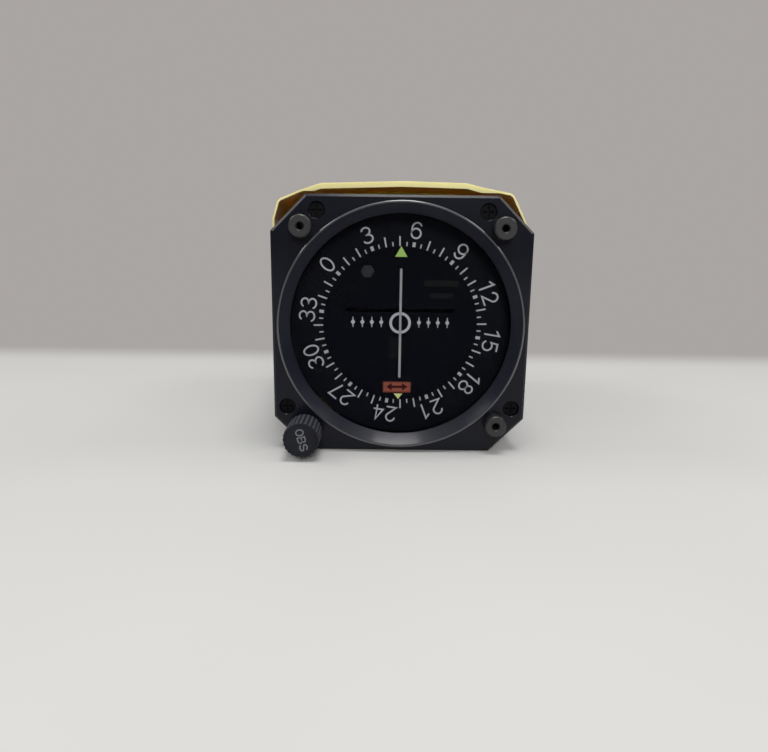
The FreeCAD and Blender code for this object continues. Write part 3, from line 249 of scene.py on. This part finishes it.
def add_ribbon(bm, path, width, face_y, closed):
    """A flat stroke along a path: a closed ring, or one with round ends."""
    offsets = side_offsets(path, closed)
    rows = [(Vector(point), side * width / 2) for point, (side, along) in zip(path, offsets)]
    if not closed:
        for end, outward in ((0, -1), (-1, 1)):
            side, along = offsets[end]
            for angle in END_ANGLES:
                a = math.radians(angle)
                at = Vector(path[end]) + along * outward * width / 2 * math.sin(a)
                row = (at, side * width / 2 * math.cos(a))
                rows.insert(len(rows) if outward == 1 else 0, row)
    corners = []
    for at, side in rows:
        corners.append([bm.verts.new((p.x * MM, y * MM, p.y * MM))
                        for y in (face_y - PRINT_THICK, face_y) for p in (at + side, at - side)])
    count = len(corners)
    for i in range(count if closed else count - 1):
        a, b = corners[i], corners[(i + 1) % count]
        for m, n in ((0, 1), (3, 2), (2, 0), (1, 3)):
            bm.faces.new((a[m], a[n], b[n], b[m]))
    if not closed:
        first, last = corners[0], corners[-1]
        bm.faces.new((first[1], first[0], first[2], first[3]))
        bm.faces.new((last[0], last[1], last[3], last[2]))


def add_text(bm, text, centre, right, up, height, width, gap, stroke, face_y):
    """Characters drawn with strokes, centred on a point and set along two directions."""
    total = len(text) * width + (len(text) - 1) * gap
    for i, character in enumerate(text):
        start = -total / 2 + i * (width + gap) + stroke / 2
        for path, closed in GLYPHS[character]:
            placed = []
            for u, v in path:
                a = start + u * (width - stroke)
                b = (v - 0.5) * (height - stroke)
                placed.append((centre[0] + right[0] * a + up[0] * b,
                               centre[1] + right[1] * a + up[1] * b))
            add_ribbon(bm, placed, stroke, face_y, closed)


def both_ways(half):
    """A whole outline from one half of it, which the other repeats turned over."""
    return [(side * x, side * z) for side in (1, -1) for x, z in half]


def moved(outline, x, z):
    return [(x + a, z + b) for a, b in outline]


def new_object(name, bm, material):
    mesh = bpy.data.meshes.new(name)
    bm.to_mesh(mesh)
    bm.free()
    made = bpy.data.objects.new(name, mesh)
    bpy.context.scene.collection.objects.link(made)
    mesh.materials.append(material)
    return made


def finish_mesh(name, bm, body, material):
    bmesh.ops.recalc_face_normals(bm, faces=bm.faces)
    piece = new_object(name, bm, material)
    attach(piece, body)


def print_outlines(name, outlines, face_y, body, material):
    bm = bmesh.new()
    for outline in outlines:
        add_prism(bm, outline, face_y)
    finish_mesh(name, bm, body, material)


# Materials. A function that returns a socket gives the value that its nodes work out.

NOISE_REACH = (0.3, 0.7)
TONE_REACH = (0.3, 0.65)
BROAD_PER_GRAIN = 1 / 40
SPECKS_PER_GRAIN = 1 / 4
SPECK_EDGE = 0.03
COAT_ROUGHNESS = 0.14
GLASS_IOR = 1.3
# Browner colour of the cover's inside: painted shade
COVER_INSIDE_SHADE = (0.7, 0.58, 0.42)
INSIDE_FULL = -0.005
INSIDE_NONE = -0.001
# Lighter colour of the knob's ridges: a painted highlight
RIDGE_HIGHLIGHT_TONE = (0.055, 0.056, 0.068)
WIRES = [(0.2, (0.2, 0.06, 0.02)), (0.7, (0.62, 0.26, 0.11))]


def feed(tree, node, inputs):
    """Give a node its inputs: a socket is linked, and anything else is set as the value."""
    for key, value in inputs.items():
        if isinstance(value, bpy.types.NodeSocket):
            tree.links.new(value, node.inputs[key])
        else:
            node.inputs[key].default_value = value


def add_node(tree, kind, inputs, **settings):
    node = tree.nodes.new("ShaderNode" + kind)
    for name, value in settings.items():
        setattr(node, name, value)
    feed(tree, node, inputs)
    return node


def shader_of(material):
    tree = material.node_tree
    return tree, tree.nodes["Principled BSDF"]


def new_material(name):
    material = bpy.data.materials.new(name)
    material.use_nodes = True
    return material, *shader_of(material)


def set_surface(tree, source):
    feed(tree, tree.nodes["Material Output"], {"Surface": source})


def coordinates(tree, kind):
    return add_node(tree, "TexCoord", {}).outputs[kind]


def camera_ray(tree):
    return add_node(tree, "LightPath", {}).outputs["Is Camera Ray"]


def maths(tree, operation, first, second):
    return add_node(tree, "Math", {0: first, 1: second}, operation=operation).outputs["Value"]


def vector_maths(tree, operation, inputs, result="Vector"):
    node = add_node(tree, "VectorMath", dict(enumerate(inputs)), operation=operation)
    return node.outputs[result]


def noise(tree, scale, detail, roughness=0.6):
    node = add_node(tree, "TexNoise", {"Vector": coordinates(tree, "Object"), "Scale": scale,
                                       "Detail": detail, "Roughness": roughness})
    return node.outputs["Fac"]


def ramp(tree, source, stops):
    """A colour from a list of levels of the source and their colours."""
    node = add_node(tree, "ValToRGB", {"Fac": source})
    elements = node.color_ramp.elements
    for i, (position, colour) in enumerate(stops):
        element = elements[i] if i < 2 else elements.new(position)
        element.position = position
        element.color = (*colour, 1.0)
    return node.outputs["Color"]


def stepped(tree, source, start, end, before, after, interpolation="LINEAR"):
    """A value that goes from one level to another while the source goes from start to end."""
    node = add_node(tree, "MapRange", {"Value": source, "From Min": start, "From Max": end,
                                       "To Min": before, "To Max": after},
                    interpolation_type=interpolation)
    return node.outputs["Result"]


def spread(tree, source, values):
    """The usual reach of a noise, spread over two values."""
    return stepped(tree, source, *NOISE_REACH, *values)


def bumped(tree, source, strength, distance):
    node = add_node(tree, "Bump", {"Height": source, "Strength": strength, "Distance": distance})
    return node.outputs["Normal"]


def mixed(tree, first, colour, factor):
    """A colour into which another one is mixed."""
    node = add_node(tree, "Mix", {"Factor": factor, "A": first, "B": (*colour, 1.0)},
                    data_type="RGBA")
    return node.outputs["Result"]


def blend(tree, factor, first, second):
    """One shader that turns into another while the factor goes from 0 to 1."""
    return add_node(tree, "MixShader", {"Fac": factor, 1: first, 2: second}).outputs["Shader"]


def across_axis(tree, centre=(0.0, 0.0)):
    """Where a point lies in the plane across Y, from a centre in millimetres."""
    centre_at = (centre[0] * MM, 0.0, centre[1] * MM)
    from_centre = vector_maths(tree, "SUBTRACT", (coordinates(tree, "Object"), centre_at))
    return vector_maths(tree, "MULTIPLY", (from_centre, (1.0, 0.0, 1.0)))


def length(tree, vector):
    return vector_maths(tree, "LENGTH", (vector,), "Value")


def second_tone(tree, shader, colour, factor):
    """Mix another colour into the base colour."""
    first = shader.inputs["Base Color"].links[0].from_socket
    feed(tree, shader, {"Base Color": mixed(tree, first, colour, factor)})


def surface(name, colour, rough, metallic=0.0, grain=2500.0, bump=0.15, depth=0.00002,
            vary=0.15, wear=None, specular=0.5, coat=0.0):
    """Paint, plastic or metal: fine grain, uneven colour and roughness, and worn specks.

    Wear is the colour of the specks and the level of the noise that they start at.
    """
    material, tree, shader = new_material(name)
    broad = noise(tree, grain * BROAD_PER_GRAIN, detail=4.0)
    fine = noise(tree, grain, detail=2.0)
    dark = [c * (1 - vary) for c in colour]
    light = [min(c * (1 + vary), 1.0) for c in colour]
    tone = ramp(tree, broad, list(zip(TONE_REACH, (dark, light))))
    if wear is not None:
        worn, level = wear
        specks = noise(tree, grain * SPECKS_PER_GRAIN, detail=6.0, roughness=0.75)
        mask = ramp(tree, specks, [(level, (0, 0, 0)), (level + SPECK_EDGE, (1, 1, 1))])
        tone = mixed(tree, tone, worn, mask)
    feed(tree, shader, {
        "Base Color": tone, "Metallic": metallic, "Specular IOR Level": specular,
        "Coat Weight": coat, "Coat Roughness": COAT_ROUGHNESS,
        "Roughness": spread(tree, broad, rough), "Normal": bumped(tree, fine, bump, depth)})
    return material


def clear_glass():
    """A window that lets light straight through and mirrors a little at its surface."""
    material, tree, shader = new_material("window_glass_clear")
    smudges = noise(tree, 60.0, detail=5.0)
    feed(tree, shader, {"Base Color": (0.02, 0.02, 0.025, 1.0),
                        "Roughness": spread(tree, smudges, (0.02, 0.1))})
    clear = add_node(tree, "BsdfTransparent", {"Color": (0.97, 0.98, 0.98, 1.0)})
    fresnel = add_node(tree, "Fresnel", {"IOR": GLASS_IOR})
    # Only the outer side mirrors: from inside, the straight rays would meet a mirror at a slant
    backfacing = add_node(tree, "NewGeometry", {}).outputs["Backfacing"]
    outside = maths(tree, "SUBTRACT", 1.0, backfacing)
    mirror = maths(tree, "MULTIPLY", fresnel.outputs["Fac"], outside)
    set_surface(tree, blend(tree, mirror, clear.outputs["BSDF"], shader.outputs["BSDF"]))
    return material


def cover_plastic():
    """Thin yellow sheet that lets a little light through, with painted shade in a browner colour
    on its inside.
    """
    material = surface("cover_yellow_plastic", (0.98, 0.83, 0.37), (0.35, 0.5), vary=0.05,
                       wear=((0.7, 0.52, 0.14), 0.74), specular=0.6)
    tree, shader = shader_of(material)
    # The inside of the arch, where the normal looks towards the axis of the instrument, gets a
    # browner colour: painted shade
    normal = coordinates(tree, "Normal")
    facing = vector_maths(tree, "DOT_PRODUCT", (normal, across_axis(tree)), "Value")
    inside = stepped(tree, facing, INSIDE_FULL, INSIDE_NONE, 1.0, 0.0)
    second_tone(tree, shader, COVER_INSIDE_SHADE, inside)
    feed(tree, shader, {"Subsurface Weight": 0.4, "Subsurface Radius": (1.0, 0.75, 0.5),
                        "Subsurface Scale": 0.0015})
    return material


def bezel_paint():
    """Black anodising, rubbed shiny on the thin outer lip."""
    material = surface("black_bezel_anodised", (0.0125, 0.0135, 0.022), (0.33, 0.45), vary=0.12,
                       bump=0.12)
    tree, shader = shader_of(material)
    radius = length(tree, across_axis(tree))
    for socket, inside, on_lip in (("Specular IOR Level", 0.26, 0.9), ("Coat Weight", 0.28, 1.0)):
        amount = stepped(tree, radius, LIP_START * MM, LIP_FULL * MM, inside, on_lip)
        feed(tree, shader, {socket: amount})
    return material


def knob_plastic():
    """Black plastic, with a painted highlight in a lighter colour on the ridges between the
    flutes.
    """
    material = surface("knob_black_plastic", (0.018, 0.0185, 0.024), (0.42, 0.55), vary=0.2,
                       bump=0.3, specular=0.05)
    tree, shader = shader_of(material)
    centre = middle("obs_knob")
    radius = length(tree, across_axis(tree, (centre.x, centre.z)))
    # The ridges get a lighter colour: a painted highlight
    ridge_highlight = stepped(tree, radius, RIDGE_START * MM, RIDGE_FULL * MM, 0.0, 1.0)
    second_tone(tree, shader, RIDGE_HIGHLIGHT_TONE, ridge_highlight)
    return material


def copper_windings():
    """Fine enamelled wire, wound side by side."""
    material, tree, shader = new_material("copper_windings")
    wave = add_node(tree, "TexWave", {"Vector": coordinates(tree, "Object"), "Scale": 1500.0,
                                      "Distortion": 0.6}).outputs["Fac"]
    feed(tree, shader, {
        "Metallic": 1.0, "Base Color": ramp(tree, wave, WIRES),
        "Roughness": spread(tree, wave, (0.3, 0.45)), "Normal": bumped(tree, wave, 0.4, 0.00004)})
    return material


# Each with its colour and the range of its roughness
BLACK_PAINT = surface("black_flange_paint", (0.0026, 0.0032, 0.0078), (0.36, 0.5), vary=0.2,
                      bump=0.2, wear=((0.02, 0.02, 0.025), 0.78), specular=0.11, coat=0.23)
BEZEL_PAINT = bezel_paint()
CASE_PAINT = surface("black_case_paint", (0.014, 0.014, 0.016), (0.5, 0.65), vary=0.25,
                     bump=0.3, wear=((0.07, 0.07, 0.07), 0.77), specular=0.35)
HOUSING_ALLOY = surface("black_housing_casting", (0.018, 0.018, 0.02), (0.5, 0.7), vary=0.25,
                        bump=0.5, depth=0.00005, specular=0.3)
POST_METAL = surface("post_nickel", (0.036, 0.0355, 0.036), (0.3, 0.42), metallic=0.6,
                     vary=0.2, bump=0.2)
BLACK_OXIDE = surface("screw_black_oxide", (0.002, 0.002, 0.003), (0.5, 0.65), vary=0.3,
                      specular=0.1)
KNOB_PLASTIC = knob_plastic()
STEEL = surface("machined_steel", (0.42, 0.42, 0.43), (0.25, 0.4), metallic=1.0, vary=0.1,
                grain=4000)
BRASS = surface("cut_brass", (0.62, 0.42, 0.16), (0.25, 0.4), metallic=1.0, vary=0.12,
                grain=4000)
ALLOY = surface("chassis_alloy", (0.55, 0.55, 0.56), (0.35, 0.5), metallic=1.0, vary=0.08,
                grain=3000)
DARK_PLATE = surface("plate_black_anodised", (0.008, 0.008, 0.01), (0.5, 0.65), vary=0.2,
                     specular=0.2)
CARD_BLACK = surface("card_black", (0.0018, 0.002, 0.0048), (0.65, 0.8), vary=0.3, bump=0.1,
                     specular=0.1)
FACE_BLACK = surface("face_black", (0.0012, 0.0014, 0.004), (0.65, 0.8), vary=0.3, bump=0.1,
                     specular=0.06)
SPACER_BLACK = surface("spacer_black", (0.004, 0.004, 0.006), (0.5, 0.65), vary=0.2,
                       specular=0.2)
LENS_DARK = surface("lens_dark", (0.0015, 0.0015, 0.002), (0.3, 0.4), vary=0.2, specular=0.15)
PHOTOCELL = surface("photocell_grey", (0.0105, 0.0108, 0.014), (0.35, 0.5), vary=0.25,
                    grain=4000, specular=0.3)
RUBBER = surface("gasket_rubber", (0.008, 0.008, 0.008), (0.7, 0.85), vary=0.2, bump=0.4,
                 specular=0.2)
PRINT_WHITE = surface("dial_print_white", (0.46, 0.46, 0.49), (0.55, 0.7), vary=0.05, bump=0.1)
NEEDLE_WHITE = surface("needle_white", (0.3, 0.3, 0.31), (0.5, 0.65), vary=0.05, bump=0.1)
INDEX_GREEN = surface("index_green", (0.36, 0.56, 0.12), (0.5, 0.65), vary=0.06, bump=0.1)
INDEX_YELLOW = surface("index_yellow_green", (0.62, 0.64, 0.24), (0.5, 0.65), vary=0.06,
                       bump=0.1)
FLAG_ORANGE = surface("flag_orange", (0.27, 0.055, 0.025), (0.5, 0.65), vary=0.1)
FLAG_EDGE = surface("flag_edge_red", (0.16, 0.02, 0.014), (0.5, 0.65), vary=0.12)
FLAG_ARROW = surface("flag_arrow_dark", (0.03, 0.003, 0.003), (0.5, 0.65), vary=0.2,
                     specular=0.1)
VANE_DARK = surface("vane_dark", (0.004, 0.004, 0.006), (0.6, 0.75), vary=0.2, specular=0.1)
LABEL_WHITE = surface("knob_label_white", (0.14, 0.143, 0.158), (0.5, 0.65), bump=0.2)
MAGNET = surface("sintered_magnet", (0.12, 0.12, 0.125), (0.4, 0.55), metallic=0.8, vary=0.2)
BOARD_GREEN = surface("board_green", (0.02, 0.12, 0.05), (0.3, 0.45), vary=0.2, grain=2000)
CHIP_BLACK = surface("chip_black", (0.015, 0.015, 0.016), (0.5, 0.65), vary=0.2)
CONNECTOR_METAL = surface("connector_plating", (0.5, 0.46, 0.34), (0.3, 0.45), metallic=1.0,
                          vary=0.1)
INSULATOR = surface("connector_insulator_black", (0.012, 0.012, 0.013), (0.4, 0.55), vary=0.2)
COVER_YELLOW = cover_plastic()
GLASS = clear_glass()
WINDINGS = copper_windings()

# By words in a node's name first, for the pieces that come in sets, and else by its name
SET_MATERIALS = {
    "mounting_post": POST_METAL, "flange_screw": BLACK_OXIDE, "_coil": WINDINGS,
    "_core": MAGNET, "_bracket": ALLOY,
}
NODE_MATERIALS = {
    "front_flange": BLACK_PAINT, "bezel_ring": BEZEL_PAINT, "glass_gasket": RUBBER,
    "window_glass": GLASS, "lens_spacer": SPACER_BLACK, "front_housing": HOUSING_ALLOY,
    "obs_bushing": BRASS, "obs_knob": KNOB_PLASTIC, "knob_set_screw": BLACK_OXIDE,
    "obs_shaft": STEEL, "obs_pinion": BRASS, "idler_cluster": BRASS,
    "compass_card": CARD_BLACK, "card_gear": BRASS, "card_bearing": BRASS,
    "centre_dial": FACE_BLACK, "annunciator_lens_upper": LENS_DARK,
    "annunciator_lens_lower": LENS_DARK, "photocell_lens": PHOTOCELL, "dial_pillars": STEEL,
    "gear_plate": DARK_PLATE, "gear_plate_posts": STEEL, "resolver_posts": STEEL,
    "resolver_plate": ALLOY, "resolver_body": STEEL, "resolver_gear": BRASS,
    "cdi_needle": NEEDLE_WHITE, "nav_flag": FLAG_ORANGE, "to_from_vane": VANE_DARK,
    "chassis_pillars_front": STEEL, "chassis_pillars_rear": STEEL, "mid_plate": ALLOY,
    "main_board": BOARD_GREEN, "board_parts": CHIP_BLACK, "rear_case": CASE_PAINT,
    "rear_plate": CASE_PAINT, "case_screws": STEEL, "rear_connector": CONNECTOR_METAL,
    "connector_insulator": INSULATOR, "connector_jacks": STEEL, "top_cover": COVER_YELLOW,
}


def material_for(name):
    for words, material in SET_MATERIALS.items():
        if words in name:
            return material
    return NODE_MATERIALS[name]


for node_name, node_object in nodes.items():
    node_object.data.materials.clear()
    node_object.data.materials.append(material_for(node_name))


# Print on the compass card


def on_card(heading):
    """The outward and clockwise directions of a heading on the card as it is set."""
    a = math.radians(heading - CARD_HEADING)
    return (math.sin(a), math.cos(a)), (math.cos(a), -math.sin(a))


def card_numbers():
    bm = bmesh.new()
    for value in range(0, 36, 3):
        up, right = on_card(value * 10)
        centre = (up[0] * NUMBER_RADIUS, up[1] * NUMBER_RADIUS)
        add_text(bm, str(value), centre, right, up, NUMBER_HEIGHT, NUMBER_WIDTH, NUMBER_GAP,
                 NUMBER_STROKE, CARD_Y)
    finish_mesh("card_numbers", bm, "compass_card", PRINT_WHITE)


def card_ticks():
    outlines = []
    for heading in range(0, 360, 5):
        up, right = on_card(heading)
        if heading % 30 == 0:
            outer, half = TICK_BOLD_OUTER, TICK_BOLD_WIDTH / 2
        elif heading % 10 == 0:
            outer, half = TICK_LONG, TICK_WIDTH / 2
        else:
            outer, half = TICK_SHORT, TICK_SHORT_WIDTH / 2
        corners = ((TICK_INNER, -half), (outer, -half), (outer, half), (TICK_INNER, half))
        outlines.append([(up[0] * r + right[0] * side, up[1] * r + right[1] * side)
                         for r, side in corners])
    print_outlines("card_ticks", outlines, CARD_Y, "compass_card", PRINT_WHITE)


# Print on the fixed face


def centre_circle():
    path = loop(0, CIRCLE_Z, CIRCLE_RADIUS, CIRCLE_RADIUS, CIRCLE_STEPS)
    bm = bmesh.new()
    add_ribbon(bm, path, CIRCLE_STROKE, FACE_Y, True)
    finish_mesh("centre_circle", bm, "housing", PRINT_WHITE)


def deviation_dots():
    """Marks with a thin upright line and a wider body, pointed to both sides."""
    width, body = DOT_WIDTH / 2, DOT_BODY / 2
    line, height = DOT_LINE_WIDTH / 2, DOT_HEIGHT / 2
    waist = body * (1 - line / width)
    dot = both_ways([(line, height), (line, waist), (width, 0.0), (line, -waist),
                     (line, -height)])
    outlines = [moved(dot, place * DOT_PITCH, DOT_Z) for place in DOT_PLACES]
    print_outlines("deviation_dots", outlines, FACE_Y, "housing", PRINT_WHITE)


def index_mark(name, x, apex, base, half, material):
    outline = [(x, apex), (x + half, base), (x - half, base)]
    print_outlines(name, [outline], FACE_Y, "housing", material)


# Print on the moving pieces


def flag_print():
    at = middle("nav_flag")
    half = (high("nav_flag") - low("nav_flag")) / 2
    inner_x, inner_z = half.x - FLAG_BORDER, half.z - FLAG_BORDER
    border = []
    for top in (half.z, FLAG_BORDER - half.z):
        border.append([(-half.x, top), (half.x, top), (half.x, top - FLAG_BORDER),
                       (-half.x, top - FLAG_BORDER)])
    for side in (-1, 1):
        border.append([(side * half.x, inner_z), (side * half.x, -inner_z),
                       (side * inner_x, -inner_z), (side * inner_x, inner_z)])
    neck = FLAG_ARROW_HALF - FLAG_HEAD_LENGTH
    arrow = both_ways([(neck, FLAG_SHAFT_HALF), (neck, FLAG_HEAD_HALF), (FLAG_ARROW_HALF, 0.0),
                       (neck, -FLAG_HEAD_HALF), (neck, -FLAG_SHAFT_HALF)])
    for name, outlines, material in (("flag_border", border, FLAG_EDGE),
                                     ("flag_arrow", [arrow], FLAG_ARROW)):
        placed = [moved(outline, at.x, at.z) for outline in outlines]
        print_outlines(name, placed, FLAG_Y, "nav_flag", material)


def sense_print():
    """The to and from triangles, one to each side of the vane's blank middle."""
    at = middle("to_from_vane")
    outlines = []
    for side in (-1, 1):
        tip = -side * SENSE_ARROW_RISE
        triangle = [(0.0, tip), (SENSE_ARROW_HALF, -tip), (-SENSE_ARROW_HALF, -tip)]
        outlines.append(moved(triangle, at.x + side * SENSE_ARROW_X, at.z))
    print_outlines("to_from_arrows", outlines, SENSE_Y, "to_from", PRINT_WHITE)


def knob_label():
    at = middle("obs_knob")
    a = math.radians(LABEL_TURN)
    right = (math.cos(a), -math.sin(a))
    up = (math.sin(a), math.cos(a))
    bm = bmesh.new()
    add_text(bm, "OBS", (at.x + LABEL_X, at.z), right, up, LABEL_HEIGHT, LABEL_WIDTH, LABEL_GAP,
             LABEL_STROKE, low("obs_knob").y + KNOB_DISH)
    finish_mesh("knob_label", bm, "obs_knob", LABEL_WHITE)


card_numbers()
card_ticks()
centre_circle()
deviation_dots()
index_mark("top_index", 0.0, INDEX_APEX, INDEX_BASE, INDEX_HALF, INDEX_GREEN)
index_mark("bottom_index", LOWER_INDEX_X, LOWER_INDEX_APEX, LOWER_INDEX_BASE, -LOWER_INDEX_HALF,
           INDEX_YELLOW)
flag_print()
sense_print()
knob_label()


# Camera and stage


def make_camera():
    data = bpy.data.cameras.new("camera")
    data.lens = CAMERA_LENS
    data.sensor_width = CAMERA_SENSOR
    data.clip_start = CLIP_START
    data.clip_end = CLIP_END
    camera = bpy.data.objects.new("camera", data)
    bpy.context.scene.collection.objects.link(camera)
    turn = Matrix.Rotation(math.radians(CAMERA_TURN), 4, "Z")
    tilt = Matrix.Rotation(math.radians(90.0 - CAMERA_DOWN), 4, "X")
    roll = Matrix.Rotation(math.radians(CAMERA_ROLL), 4, "Z")
    place = Matrix.Translation(Vector(CAMERA_AT) * MM)
    camera.matrix_world = place @ turn @ tilt @ roll
    bpy.context.scene.camera = camera


def floor_material():
    """A pale floor which, seen by the camera, fades into the backdrop."""
    material, tree, shader = new_material("floor_pale")
    cloud = noise(tree, 6.0, detail=2.0)
    feed(tree, shader, {"Base Color": ramp(tree, cloud, FLOOR_TONES), "Roughness": 0.6})
    place = coordinates(tree, "Object")
    depth = add_node(tree, "SeparateXYZ", {"Vector": place}).outputs["Y"]
    seam = stepped(tree, depth, SEAM_NEAR, SEAM_FAR, 0.0, 1.0, "SMOOTHSTEP")
    around = stepped(tree, length(tree, place), ROUND_NEAR, ROUND_FAR, 0.0, 1.0, "SMOOTHSTEP")
    faded = maths(tree, "MULTIPLY", maths(tree, "MAXIMUM", seam, around), camera_ray(tree))
    plain = add_node(tree, "Emission", {"Color": (*BACKDROP, 1.0)})
    set_surface(tree, blend(tree, faded, shader.outputs["BSDF"], plain.outputs["Emission"]))
    return material


def make_floor():
    bm = bmesh.new()
    bm.faces.new([bm.verts.new((x * FLOOR_HALF, y * FLOOR_HALF, FLOOR_Z))
                  for x, y in ((-1, -1), (1, -1), (1, 1), (-1, 1))])
    new_object("floor", bm, floor_material())


def make_world():
    """A soft sky that lights the part, behind which the camera sees the plain backdrop."""
    world = bpy.data.worlds.new("studio")
    bpy.context.scene.world = world
    world.use_nodes = True
    tree = world.node_tree
    tree.nodes.clear()
    direction = add_node(tree, "SeparateXYZ", {"Vector": coordinates(tree, "Generated")})
    light = add_node(tree, "Background", {"Color": ramp(tree, direction.outputs["Z"], SKY_TONES),
                                          "Strength": SKY_STRENGTH})
    seen = add_node(tree, "Background", {"Color": (*BACKDROP, 1.0)})
    sky = blend(tree, camera_ray(tree), light.outputs["Background"], seen.outputs["Background"])
    add_node(tree, "OutputWorld", {"Surface": sky})


def area_light(name, at, size, energy):
    data = bpy.data.lights.new(name, "AREA")
    data.shape = "DISK"
    data.size = size
    data.energy = energy
    lamp = bpy.data.objects.new(name, data)
    lamp.location = Vector(at)
    lamp.rotation_mode = "QUATERNION"
    lamp.rotation_quaternion = (-Vector(at)).to_track_quat("-Z", "Y")
    bpy.context.scene.collection.objects.link(lamp)


make_camera()
make_floor()
make_world()
for light_values in LIGHTS:
    area_light(*light_values)
bpy.context.scene.view_settings.view_transform = "Standard"
